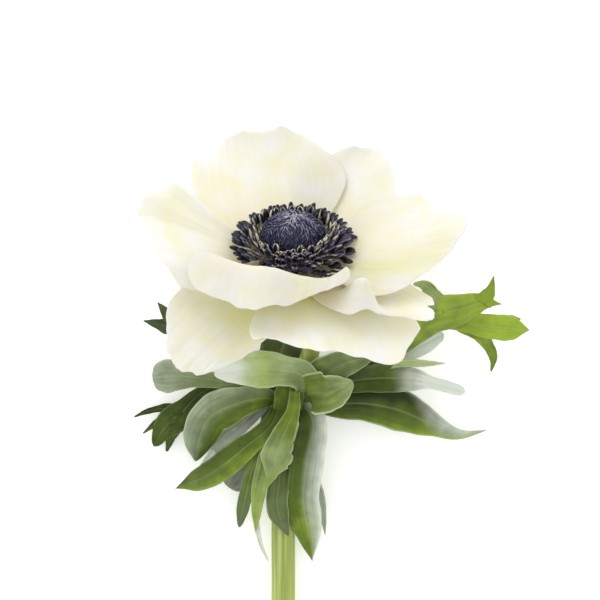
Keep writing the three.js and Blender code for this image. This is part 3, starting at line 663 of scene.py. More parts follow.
@dataclass(frozen=True)
class Tepal:
    """One tepal: a thin, pleated, bowl-shaped sheet that fans out from its claw.

    The pairs and rows of values run from the clockwise to the counterclockwise edge. sides are its
    half widths, fan and rise are angles, and tip is how much of the width is left at the margin.
    pleats have a depth, a count and a phase, scallops a place, a depth and a breadth, and the spots
    of painted yellow-green shade a place along and across, a length, a breadth and a strength. The
    darkening value paints shade on the outer part, and paints light where it is negative. jag and
    frill are the heights of the margin's small waves, out and up.
    """

    node: str
    azimuth: float
    tier: int
    sides: tuple[float, float]
    fan: tuple[float, float]
    tip: tuple[float, float]
    reach: tuple[float, ...]
    rise: tuple[float, ...]
    pleats: tuple[float, float, float]
    bend: tuple[float, ...] = (0.0, 0.0)
    bowl: tuple[float, ...] = (9.0, 9.0)
    fold: Fold = Fold.NONE
    claw_hue_and_shade: Flush = Flush.WARM
    corners: tuple[float, float] = (0.08, 0.08)
    scallops: tuple[tuple[float, float, float], ...] = ()
    shade_spots: tuple[tuple[float, float, float, float, float], ...] = ()
    painted_shade_and_light: float = 0.0
    curl: float = 0.0
    frill: float = 0.25
    jag: float = 0.3

    lip_ridge: tuple[float, ...] = (24.5, 23, 21, 21, 19.5, 21, 21.5)
    lip_height: tuple[float, ...] = (5.5, 6.5, 7, 8.5, 5.5, 4.5, 6)
    lip_wall: float = 4.0
    lip_roll: float = 3.0
    lip_droop: float = 0.4
    horn_along: float = 28.0
    horn_side: float = -7.4
    horn_height: float = 9.4
    horn_length: tuple[float, float] = (6.5, 3.0)
    horn_breadth: tuple[float, float] = (3.4, 1.5)
    claw_radius: float = 4.6
    top_tier: int = 3
    top_tier_height: float = -0.2
    tier_step: float = 1.3
    bowl_softness: float = 3.0
    landing: float = 3.0
    thickness: float = 0.45
    edge_thickness: float = 0.14
    rows: int = 84
    columns: int = 104

    def half_width(self, along: np.ndarray, u: np.ndarray, v: np.ndarray) -> np.ndarray:
        """How far the sheet reaches to the side of its middle line.

        The width opens at the fan angle, meets the full width softly (as the eighth power mean
        of the two) and closes to the tip's share over the last two fifths.

        Args:
            along: distance from the bloom's axis, along the middle line.
            u: share of the way from claw to margin.
            v: place across, whose sign picks the side.

        Returns:
            The half width at each point.
        """
        fan, full, tip = (np.where(v < 0, *pair) for pair in (self.fan, self.sides, self.tip))
        fanned = along * np.tan(np.radians(fan))
        opened = (fanned ** -8.0 + full ** -8.0) ** -0.125
        return opened * (1 - (1 - tip) * ease(0.6, 1, u))

    def folded(self, radius: np.ndarray, along: np.ndarray, side: np.ndarray, v: np.ndarray) -> np.ndarray:
        """The height that the tepal's own fold adds.

        A lip rises over the width of its wall up to its ridge, and droops beyond it. A horn is a
        bell curve, longer inwards than outwards and broader in front than behind.

        Args:
            radius: distance from the bloom's axis.
            along: the part of it along the middle line.
            side: the part of it to the side.
            v: place across, from -1 to 1.

        Returns:
            The added height.
        """
        if self.fold is Fold.LIP:
            ridge = across(self.lip_ridge, v)
            wall = across(self.lip_height, v) * ease(ridge - self.lip_wall, ridge, radius)
            beyond = np.maximum(0, radius - ridge)
            return wall - self.lip_droop * (np.hypot(beyond, self.lip_roll) - self.lip_roll)
        if self.fold is Fold.HORN:
            out, over = along - self.horn_along, side - self.horn_side
            length = np.where(out < 0, *self.horn_length)
            breadth = np.where(over < 0, *self.horn_breadth)
            return self.horn_height * np.exp(-((out / length) ** 2) - (over / breadth) ** 2)
        return np.zeros_like(radius)

    def middle(self, u: np.ndarray, v: np.ndarray) -> np.ndarray:
        """The sheet's middle surface in the bloom's frame.

        Distance out runs from the claw to a scalloped margin. Height is the tier's height, plus
        the climb beyond the bowl's radius, the end's bend times u squared, pleats and frills
        that grow outwards, a curl of the last eighth, and the tepal's own fold.

        Args:
            u: share of the way from claw to margin.
            v: place across, from -1 to 1.

        Returns:
            x, y and z of each point.
        """
        seed = round(self.azimuth) + 400
        margin = across(self.reach, v) + self.jag * waves(v, (4.3, 7.9, 13.1), seed)
        for at, depth, breadth in self.scallops:
            margin = margin - depth * np.exp(-(((v - at) / breadth) ** 2))
        along = self.claw_radius + (margin - self.claw_radius) * u
        side = v * self.half_width(along, u, v)
        radius = np.hypot(along, side)
        outside = radius - across(self.bowl, v)
        climbed = (outside + np.hypot(outside, self.bowl_softness)) / 2
        depth, count, phase = self.pleats
        height = self.top_tier_height - (self.top_tier - self.tier) * self.tier_step
        height = height + climbed * np.tan(np.radians(across(self.rise, v)))
        height = height + across(self.bend, v) * u * u
        height = height + depth * u ** 3 * np.sin(np.pi * count * v + phase)
        height = height + self.frill * u ** 5 * waves(v, (3.7, 6.3, 9.1), seed + 1)
        height = height + 0.05 * u * waves(v, (11.0, 17.0), seed + 2)
        height = height - self.curl * ease(0.88, 1.06, u)
        height = height + self.folded(radius, along, side, v)
        way = around(np.radians(self.azimuth))
        beside = np.cross(UP, way)
        return along[..., None] * way + side[..., None] * beside + height[..., None] * UP

    def surface(self, bloom: BloomFrame) -> Surface:
        """The closed sheet over the floor.

        The corners of the square of u and v are rounded first: u shrinks with the sixth power of
        v, and v with the sixth power of u. Each face lies half the thickness from the middle
        surface, square to it, and the sheet thins over its outer eighth. A sheet that would sink
        into the floor bends to it softly: its height z becomes half of z + √(z² + landing²), less
        what that makes of its lowest point.

        Args:
            bloom: the frame that the tepal grows in.

        Returns:
            The closed surface with the tone "along", a claw tone that is 0 for the tissue's warm hue and 1
            for a green painted shade, and two tones of painted shade, the yellow-green spots and the
            darkening, which is painted light where it is negative.
        """
        u, v = np.meshgrid(np.linspace(0, 1, self.rows), np.linspace(-1, 1, self.columns), indexing="ij")
        cut = np.where(v < 0, *self.corners)
        middle = self.middle(u * (1 - cut * np.abs(v) ** 6), v * (1 - cut * u ** 6))
        normal = unit(np.cross(np.gradient(middle, axis=0), np.gradient(middle, axis=1)))
        inner = np.minimum(np.minimum(1 - np.abs(v), 1 - u) * 8, 1)
        half = (self.edge_thickness + (self.thickness - self.edge_thickness) * np.sqrt(inner)) / 2
        upper = bloom.placed(middle + normal * half[..., None])
        lower = bloom.placed(middle - normal * half[..., None])
        lowest = lower[..., 2].min()
        if lowest < 0:
            thick = upper[..., 2] - lower[..., 2]
            height = (lower[..., 2] + np.hypot(lower[..., 2], self.landing)) / 2
            lower[..., 2] = height - (lowest + np.hypot(lowest, self.landing)) / 2
            upper[..., 2] = lower[..., 2] + thick
        # Painted shade: soft spots of yellow-green where creases and overlaps lie in shade.
        shade_spot = np.zeros(u.shape)
        for at_u, at_v, long, wide, strength in self.shade_spots:
            shade_spot = shade_spot + strength * np.exp(-(((u - at_u) / long) ** 2) - ((v - at_v) / wide) ** 2)
        # The darkening is painted shade on the outer part, and painted light where it is negative.
        return closed_sheet(upper, lower, {
            "along": u, "claw_hue_and_shade": np.array([[self.claw_hue_and_shade.value]]), "shade_spot": np.clip(shade_spot, 0, 1),
            "painted_shade_and_light": self.painted_shade_and_light * ease(0.3, 0.75, u),
        })


@dataclass(frozen=True)
class Corolla:
    """The ring of tepals."""

    # Each tepal's spots of yellow-green, its darkening and its green claw are painted shade, and a negative
    # darkening is painted light.
    tepals: tuple[Tepal, ...] = (
        Tepal("tepal_back", 102, 1, (21.5, 23), (43, 58), (0.95, 0.95),
              (32.5, 35.5, 39, 43, 41.5, 44, 42, 35.5, 36), (23, 24.5, 26, 25.5, 25, 23, 22, 23, 25),
              (0.4, 2.6, 0.4), bend=(-1.2, -0.9, -0.3, 0, 0, 0, 0, 0, 0), corners=(0.06, 0.06),
              shade_spots=((0.7, 0.1, 0.5, 0.16, 0.12),)),
        Tepal("tepal_back_right", 52, 0, (20.5, 22), (38, 40), (0.75, 0.9),
              (25.5, 33, 38, 42, 43.5, 38.5, 31), (21, 21, 21.3, 21.5, 21.5, 22, 22), (0.3, 2.2, 1.6),
              painted_shade_and_light=0.04, corners=(0.08, 0.1)),
        Tepal("tepal_right", -8, 3, (20.5, 21.5), (40, 46), (1, 0.95),
              (24, 32.5, 37.5, 43, 45.3, 44.5, 36, 35, 32.5), (4.5, 8.5, 13, 17, 20, 20, 20, 20, 20),
              (0.3, 1.6, 0.2), bend=(0, 0, 0, 0, 0, 0, 0, -0.5, -1), corners=(0.05, 0.05),
              painted_shade_and_light=0.06, shade_spots=((0.55, -0.45, 0.4, 0.2, 0.62),)),
        Tepal("tepal_left", 175, 2, (15, 21), (17, 43), (1, 0.95),
              (33, 34, 36.5, 40, 41, 38, 35, 33, 28), (27, 27, 27, 27, 26, 25.5, 22.5, 17.5, 12.5),
              (0.3, 1.8, 2.4), bend=(5, 6, 3, 1, -3, -2, 0.5, 1.5, -2),
              bowl=(9, 9, 9, 9, 9, 10, 12.5, 16, 18.5), corners=(0.09, 0.06), curl=1.6,
              shade_spots=((0.8, 0.1, 0.08, 0.5, 0.25),)),
        Tepal("tepal_front", 255, 3, (28.5, 20.5), (52, 57), (1, 1),
              (19, 29, 32.5, 36, 28.5, 21.5, 16.5), (9.5, 8, 8, 8), (0.5, 1.7, 0.9),
              fold=Fold.LIP, painted_shade_and_light=0.14, corners=(0.08, 0.03), shade_spots=((1.0, 0.3, 0.3, 0.5, 0.1),)),
        Tepal("tepal_front_left", 228, 0, (16, 12.5), (44, 42), (0.9, 0.85),
              (35, 39, 43, 45, 43.5, 40, 31), (3, 2, 1, 0, 0, 0, 0), (0.3, 1.5, 0.6),
              bend=(-1, -3, -6, -8, -9, -9, -9), claw_hue_and_shade=Flush.SHADE_GREEN, painted_shade_and_light=0.06, corners=(0.08, 0.08)),
        Tepal("tepal_front_right", 290, 1, (22, 29.5), (43, 40.5), (1.05, 0.95),
              (31.5, 30.5, 34, 36, 34.5, 37, 39.5, 36, 35), (3, 2.5, 1.5, 1, 0, 0, 0, 0, 0),
              (0.3, 2.1, 1.2), bend=(0, -0.5, -1, -2.5, -5, -7.5, -8.5, -7.5, -5), claw_hue_and_shade=Flush.SHADE_GREEN,
              painted_shade_and_light=-0.12, corners=(0.04, 0.07)),
        Tepal("tepal_front_far_right", 325, 2, (13, 9), (39, 34), (0.3, 0.75),
              (39, 42.5, 44.5, 44.5, 43, 41.8, 41), (2, 2), (0.0, 1.0, 0.0),
              bend=(-2, -2, -1.5, -1, -1, -1, -1), fold=Fold.HORN, painted_shade_and_light=-0.09, jag=0.1, frill=0.12,
              corners=(0.05, 0.05), scallops=((0.4, 2.2, 0.09),)),
    )

    def build(self, bloom: BloomFrame, tissue: bpy.types.Material) -> None:
        """Makes a piece for each tepal.

        Args:
            bloom: the frame that the tepals grow in.
            tissue: their material.
        """
        for tepal in self.tepals:
            tepal.surface(bloom).to_object(f"{tepal.node}_sheet", tissue, "tepal", tepal.node)


@dataclass(frozen=True)
class StamenRow:
    """One row of stamens: how many, where their anthers start, how they lean and how pale they are.

    A row covers a span of degrees from its start, counted from the right against the clock.
    """

    count: int
    reach: float
    height: float
    lean: float
    pale: float
    start: float = 0.0
    span: float = 360.0


@dataclass(frozen=True)
class StamenRing:
    """The stamens: bowed pale filaments on a low collar, each with a long two-celled anther.

    They stand closest and highest at the front right, where they hide the foot of the dome.
    """

    rows: tuple[StamenRow, ...] = (
        StamenRow(46, 13.9, 3.5, 72, 0.25),
        StamenRow(42, 13.0, 4.6, 58, 0.3),
        StamenRow(38, 12.0, 5.5, 45, 0.45),
        StamenRow(32, 11.0, 6.1, 28, 0.7),
        StamenRow(26, 10.1, 6.4, 10, 1.05),
        StamenRow(18, 12.9, 5.3, 66, 0.6, 238, 128),
        StamenRow(17, 12.0, 6.3, 52, 0.6, 240, 122),
        StamenRow(15, 11.0, 7.0, 36, 0.7, 245, 112),
        StamenRow(12, 10.1, 7.1, 18, 1.1, 256, 96),
        StamenRow(9, 10.2, 5.6, 16, 1.5, 190, 74),
        StamenRow(6, 14.4, 2.4, 74, 1.6, 284, 24),
    )
    root_radius: tuple[float, float] = (8.9, 9.9)
    root_height: float = 2.2
    collar: tuple[tuple[float, float], ...] = (
        (5.2, 1.5), (10.2, 1.5), (10.2, 2.4), (9.8, 2.7), (8.4, 2.6), (5.2, 2.3))
    filament_radius: float = 0.24
    filament_steps: int = 6
    knee_rise: float = 0.9
    anther_radius: float = 0.68
    anther_length: float = 3.0
    anther_bow: float = 0.15
    anther_steps: int = 9
    anther_sides: int = 12
    back_inset: float = 0.8
    row_shift: float = 0.37
    azimuth_jitter: float = 0.035
    reach_jitter: float = 0.3
    height_jitter: float = 0.35
    lean_jitter: float = 9.0
    tilt_jitter: float = 0.16
    pale_range: tuple[float, float] = (0.5, 1.4)
    length_range: tuple[float, float] = (0.85, 1.15)
    radius_range: tuple[float, float] = (0.85, 1.12)
    seed: int = 11

    def surface(self) -> Surface:
        """All stamens and their collar in the bloom's frame.

        A filament is the square curve from its root over a knee to the anther's foot. An anther
        is a rod along its lean whose radius goes as the sine of its share to the power 0.45,
        and whose section swells to both sides by the cosine of twice the turn, where it is
        palest. A filament darkens from its root to the anther.

        Returns:
            The surface with the tone "pale".
        """
        draw = np.random.default_rng(self.seed)
        count = [row.count for row in self.rows]
        total = sum(count)
        table = np.repeat([astuple(row) for row in self.rows], count, axis=0)
        _, reach, height, lean, pale, start, span = table.T
        place = np.concatenate([(np.arange(n) + self.row_shift * i) / n for i, n in enumerate(count)])
        azimuth = np.radians(start + span * place) + draw.normal(0, self.azimuth_jitter, total)
        reach = reach + draw.normal(0, self.reach_jitter, total)
        reach = reach - self.back_inset * np.maximum(np.sin(azimuth), 0)
        height = height + draw.normal(0, self.height_jitter, total)
        lean = np.radians(lean + draw.normal(0, self.lean_jitter, total))
        pale = pale * draw.uniform(*self.pale_range, total)
        outward = around(azimuth)
        sideways = np.cross(UP, outward)
        tilt = draw.normal(0, self.tilt_jitter, (total, 1))
        root = outward * draw.uniform(*self.root_radius, (total, 1)) + UP * self.root_height
        foot = outward * reach[:, None] + UP * height[:, None]
        knee = (root + foot) / 2 + UP * self.knee_rise
        share = np.linspace(0, 1, self.filament_steps)[:, None]
        filament = (root[:, None] * (1 - share) ** 2 + 2 * knee[:, None] * share * (1 - share)
                    + foot[:, None] * share ** 2)
        way = unit(outward * np.sin(lean)[:, None] + UP * np.cos(lean)[:, None] + sideways * tilt)
        share = np.linspace(0, 1, self.anther_steps)[:, None]
        length = self.anther_length * draw.uniform(*self.length_range, (total, 1, 1))
        bow = UP * self.anther_bow * np.sin(np.pi * share)
        anther = foot[:, None] + (way[:, None] * (share * 1.04 - 0.04)) * length + bow
        swell = np.maximum(np.sin(np.pi * np.clip(share[:, 0] * 0.96 + 0.02, 0, 1)), 0.02) ** 0.45
        radius = self.anther_radius * draw.uniform(*self.radius_range, (total, 1)) * swell
        turn = even_turns(self.anther_sides)
        two_celled = 1 + 0.2 * np.cos(2 * turn)
        rims = np.exp(-(((1 - np.abs(np.cos(turn))) / 0.14) ** 2)) * 0.85
        filament_pale = pale[:, None] * 0.3 + np.linspace(0.75, 0.4, self.filament_steps)
        anther_pale = pale[:, None, None] * rims * np.ones((self.anther_steps, 1)) + 0.08
        return Surface.joined([
            rods(filament, np.full(filament_pale.shape, self.filament_radius), sideways, np.ones(5),
                 {"pale": filament_pale}),
            rods(anther, radius, sideways, two_celled, {"pale": anther_pale}),
            turned_ring(np.array(self.collar), 72, {"pale": 0.3}),
        ])

    def build(self, bloom: BloomFrame, tissue: bpy.types.Material) -> None:
        """Makes the piece for all stamens."""
        bloom.set_down(self.surface()).to_object("stamen_ring", tissue, "stamen", "stamens")


@dataclass(frozen=True)
class PistilDome:
    """The pistils: a dark dome on a short foot, clad all over in fine styles."""

    radius: float = 8.35
    waist: float = 5.0
    top: float = 11.9
    foot_radius: float = 4.9
    foot: float = 0.8
    foot_top: float = 2.9
    core_arc: tuple[float, float] = (-16.0, 88.0)
    core_rings: int = 22
    core_pale: float = 0.05
    style_count: int = 950
    style_radius: float = 0.23
    style_length: tuple[float, float] = (1.1, 1.7)
    style_lift: tuple[float, float] = (0.28, 0.5)
    style_root: float = 0.35
    style_range: tuple[float, float] = (0.8, 1.15)
    azimuth_jitter: float = 0.02
    sway_jitter: float = 0.2
    lowest: float = 112.0
    seed: int = 5

    def core(self) -> Surface:
        """The dome under the styles: a foot, and over it an upright ellipse turned round the axis.

        Returns:
            The closed core with the tone "pale".
        """
        angle = np.radians(np.linspace(*self.core_arc, self.core_rings))
        radii = np.concatenate([[self.foot_radius] * 2, self.radius * np.cos(angle)])
        rise = self.waist + (self.top - self.waist) * np.sin(angle)
        heights = np.concatenate([[self.foot, self.foot_top], rise])
        return rods(UP * heights[None, :, None], radii[None], np.array([[1.0, 0, 0]]), np.ones(48),
                    {"pale": np.full((1, len(radii)), self.core_pale)})

    def styles(self) -> Surface:
        """The styles: short tapering rods that lie up the slope and curl off it.

        Their roots follow the sunflower rule: equal steps of height, a golden angle apart. Each
        runs from just under the core's skin up along the meridian, swayed to the side by slow
        waves of its azimuth and slope.

        Returns:
            The styles with the tone "pale", which holds a painted highlight over the top of the dome.
        """
        draw = np.random.default_rng(self.seed)
        i = np.arange(self.style_count)
        slope = np.arccos(1 - (1 - np.cos(np.radians(self.lowest))) * (i + 0.5) / self.style_count)
        azimuth = i * np.pi * (3 - 5 ** 0.5) + draw.normal(0, self.azimuth_jitter, len(i))
        height = self.top - self.waist
        out = around(azimuth)
        root = (out * (self.radius * np.sin(slope))[:, None]
                + UP * (self.waist + height * np.cos(slope))[:, None])
        normal = unit(out * (np.sin(slope) / self.radius)[:, None] + UP * (np.cos(slope) / height)[:, None])
        uphill = unit(-out * (self.radius * np.cos(slope))[:, None] + UP * (height * np.sin(slope))[:, None])
        sideways = np.cross(uphill, normal)
        sway = 0.45 * np.sin(3 * azimuth + 5 * slope) + 0.3 * np.sin(7 * azimuth - 3 * slope)
        sway = (sway + draw.normal(0, self.sway_jitter, len(i)))[:, None]
        length = draw.uniform(*self.style_length, (len(i), 1))
        lift = draw.uniform(*self.style_lift, (len(i), 1))
        way = unit(uphill + sway * sideways)
        path = np.stack([
            root - normal * self.style_root,
            root + normal * lift * 0.7 + way * length * 0.25,
            root + normal * lift + way * length * 0.6,
            root + normal * lift * 0.9 + way * length,
        ], axis=1)
        taper = np.array([1.0, 1.0, 0.85, 0.3])
        radii = self.style_radius * draw.uniform(*self.style_range, (len(i), 1)) * taper
        # Painted highlight: styles near the top of the dome are paler.
        top_highlight = np.exp(-((slope / 0.75) ** 2))
        pale = draw.uniform(0.08, 0.4, len(i)) + top_highlight * draw.uniform(0.2, 0.75, len(i))
        tones = pale[:, None] * np.array([0.2, 0.6, 1.0, 1.25])
        return rods(path, radii, sideways, np.ones(4), {"pale": tones})

    def build(self, bloom: BloomFrame, tissue: bpy.types.Material) -> None:
        """Makes the piece for the dome and its styles."""
        whole = Surface.joined([self.core(), self.styles()])
        bloom.set_down(whole).to_object("pistil_dome", tissue, "pistil", "pistil")


@dataclass(frozen=True)
class Lobe:
    """A leaf lobe: a ribbon along its path, which starts on the sheath if it has an angle there.

    Rows of values run from root to tip. shifts move the lobe to the left of its path. Its green and
    bloom rows colour it and also paint its shade, light and highlights, and its side values say how
    much more of both its left edge has than its right one, painting one side lighter and the other
    darker. teeth counts the notches of its right and of its left edge, and rim is how strong the
    painted highlight along its edge is.
    """

    path: tuple[tuple[float, float, float], ...]
    widths: tuple[float, ...]
    angle: float | None = None
    shifts: tuple[float, ...] = (0.0, 0.0)
    fold: float = 0.12
    green_and_light: tuple[float, ...] = (0.4, 0.4)
    bloom_and_highlight: tuple[float, ...] = (0.1, 0.1)
    side_light_and_shade: tuple[float, float] = (0.0, 0.0)
    rim: float = 0.12
    teeth: tuple[float, float] = (0.0, 0.0)
    tooth_depth: float = 0.22
    ripple: float = 0.3
    thickness: float = 0.5
    furrow_depth: float = 0.22
    furrow_width: float = 0.35
    midrib_height: float = 0.3
    midrib_width: float = 0.45
    rows: int = 60
    columns: int = 19

    def surface(self, root_radius: float, seed: int) -> Surface:
        """The lobe's closed sheet.

        A cross-section lies square to the path. It lifts to both sides by the fold times the
        half width times |s| to the power 1.5, waves along its edges, and has a furrow over the
        midrib. Teeth are notches that a rising saw cuts into the outer half, and the last
        twentieth closes as an ellipse.

        Args:
            root_radius: how far from the stem's axis the lobes start on the sheath.
            seed: what draws the waves.

        Returns:
            The closed surface with the tones "beside", "fresh", "wax" and "rim".
        """
        points = np.array(self.path, float)
        if self.angle is not None:
            turn = np.radians(self.angle)
            points = np.vstack([CLASP + root_radius * np.array([np.cos(turn), 0, np.sin(turn)]), points])
        t = np.linspace(0, 1, self.rows) ** 0.9
        centre = smooth_path(points, t)
        forward = unit(np.gradient(centre, axis=0))
        beside = unit(np.cross(UP, forward))
        facing = np.cross(forward, beside)
        s = np.linspace(-1, 1, self.columns)
        run = (2 * t - 1)[:, None]
        count = np.where(s < 0, *self.teeth)
        notch = self.tooth_depth * np.mod(count * t[:, None], 1.0) ** 2 * ease(0.42, 0.55, t)[:, None]
        closing = np.sqrt(1 - 0.96 * np.clip((t - 0.95) / 0.05, 0, 1) ** 2)[:, None]
        edge = (1 + 0.03 * waves(3 * t, (2.1, 4.7), seed))[:, None]
        half = across(self.widths, run) / 2 * closing * edge * (1 - notch)
        ruffle = self.ripple * s ** 2 * np.sign(s) * waves(2.5 * t, (1.7, 3.1), seed + 1)[:, None]
        ruffle = ruffle * np.minimum(half / 2, 1)
        furrow = self.furrow_depth * np.exp(-((s * half / self.furrow_width) ** 2))
        lift = self.fold * half * np.abs(s) ** 1.5 + ruffle - furrow
        middle = (centre[:, None] + beside[:, None] * (s * half + across(self.shifts, run))[..., None]
                  + facing[:, None] * lift[..., None])
        rib = self.midrib_height * np.exp(-((s * half / self.midrib_width) ** 2)) * (1 - t[:, None])
        thick = self.thickness * (0.35 + 0.65 * np.sqrt(1 - s ** 2)) / 2
        upper = middle + facing[:, None] * thick[:, None]
        lower = middle - facing[:, None] * (thick + rib)[..., None]
        # The green, bloom and rim tones carry painted shade, light and highlight, and the side values paint
        # one side lighter and the other darker.
        sheet = closed_sheet(upper, lower, {
            "beside": np.abs(s)[None],
            "green_and_light": across(self.green_and_light, run) + self.side_light_and_shade[0] * s / 2,
            "bloom_and_highlight": np.clip(across(self.bloom_and_highlight, run) + self.side_light_and_shade[1] * s / 2, 0, 1.3),
            "rim": np.array([[self.rim]]),
        })
        sheet.uv[:, 1] += seed
        return sheet


@dataclass(frozen=True)
class Bract:
    """One bract of the involucre: its lobes on a clasping third of the sheath.

    facing is the angle round the stem of that third's middle, and the green value how green the third is,
    which also paints its shade and light.
    """

    node: str
    facing: float
    green_and_light: float
    lobes: tuple[Lobe, ...]


# In the lobes below, the green and bloom rows and the side values paint shade and light along with the
# leaves' own colour, and rim paints a highlight along the edges.
FRONT_BRACT = Bract("bract_front", 90, 0.45, (
    Lobe(((-5.5, -43.5, 12.4), (-13, -50, 12), (-22, -57, 9), (-32, -61.5, 4.4)),
         (3.3, 5, 6, 7, 7.5, 5.5, 0.4), 128, fold=0.2, green_and_light=(0.25, 0.45, 0.5, 0.5), bloom_and_highlight=(0, 0, 0.03),
         side_light_and_shade=(0.35, 0)),
    Lobe(((-7, -47.5, 11), (-11, -56, 10), (-13, -64.5, 8), (-14.5, -72, 5)),
         (2.7, 2.7, 3, 3.3, 3.5, 3.5, 1.4), 115, fold=0.1, green_and_light=(0.5, 0.6, 0.3), bloom_and_highlight=(0, 0.08)),
    Lobe(((-6, -48, 12), (-8.5, -58.5, 11.6), (-9.5, -65.5, 9.6), (-10, -73.5, 6)),
         (3.3, 3.5, 3.8, 4.1, 4.1, 2.7, 0.3), 104, fold=0.2, green_and_light=(0.45, 0.65, 0.9), bloom_and_highlight=(0.1, 0.08),
         rim=0.3),
    Lobe(((0.8, -34.5, 12.8), (0.2, -40, 14.2), (-2.8, -47.5, 14.2), (-4.5, -53.5, 13.4),
          (-6.5, -60.5, 12)), (2.6, 3.4, 4.5, 6, 8, 8.5, 3.8, 0.3), fold=0.15, green_and_light=(0.6, 0.6, 0.65, 0.75),
         bloom_and_highlight=(0, 0, 0.15, 0.08), rim=0.5, teeth=(0, 8)),
    Lobe(((5.5, -42.5, 12.4), (4, -53.5, 10.4), (3, -64.5, 8), (4.5, -74, 5), (5.5, -81.5, 3.4)),
         (4.5, 7, 8.5, 9, 9, 9, 8.5, 5.5, 0.3), 62, fold=0.2, green_and_light=(0.2, 0.25, 0.4, 0.65, 0.65),
         bloom_and_highlight=(0.05, 0.15, 0.2, 0.1, 0), side_light_and_shade=(0.2, 1.5)),
    Lobe(((6.5, -59, 9), (8, -65.5, 7.6), (9, -74, 5.6)), (2.2, 2.7, 2.2, 1.4, 0.3), green_and_light=(0.4, 0.4),
         bloom_and_highlight=(0.4, 0.3)),
    Lobe(((-2, -48, 10), (-3.5, -59, 9.2), (-4, -66.5, 8.8), (-1, -74, 8.4)),
         (3.3, 3.8, 4.5, 5.5, 6, 5.5, 1.1), 84, green_and_light=(0.2, 0.35, 0.35), bloom_and_highlight=(0, 0.08), rim=0.3),
    Lobe(((-10, -63.5, 10), (-9.5, -72, 5.6), (-8.5, -77, 4), (-6.5, -81.5, 3.4)),
         (1.1, 1.4, 1.4, 1.1, 0.5), green_and_light=(0.6, 0.6), bloom_and_highlight=(1, 1)),
    Lobe(((2, -33, 12.4), (-1, -30, 14.8), (-6.5, -28.5, 16), (-14, -29, 16), (-21, -30, 13.6)),
         (4.5, 6.5, 8, 8.5, 10, 9.5, 7.5, 5, 1.6), 70, shifts=(-0.5, -2, -2, -0.5, 0, 0, 0, 0, 0), fold=0.4,
         green_and_light=(0.35, 0.55, 0.75, 0.95, 1, 0.8), bloom_and_highlight=(0, 0.12, 0.25, 0.25, 1, 1.4), rim=0.4),
    Lobe(((5, -35, 12.2), (9.5, -35, 13.4), (13.5, -33.5, 14.2), (16.5, -32, 14)),
         (5, 8.5, 11, 11, 9.5, 6.5, 1.9), 50, fold=0.3, green_and_light=(0.35, 0.6, 0.7), bloom_and_highlight=(0, 0.05, 0.25),
         rim=0.9),
    Lobe(((8, -31, 11.3), (13, -27.5, 11.8), (18, -26, 12.2), (23, -25, 11.6)),
         (5.5, 9, 10.5, 9, 7, 4.5, 1.1), 45, fold=0.2, green_and_light=(0.3, 0.5, 0.5), bloom_and_highlight=(0, 0.1, 0.12), rim=0.5),
    Lobe(((-2, -44, 9.6), (-1, -37.5, 10.6), (-0.3, -31.5, 11.4)), (6, 7.5, 8, 7), green_and_light=(0.45, 0.5, 0.4),
         bloom_and_highlight=(0, 0)),
))
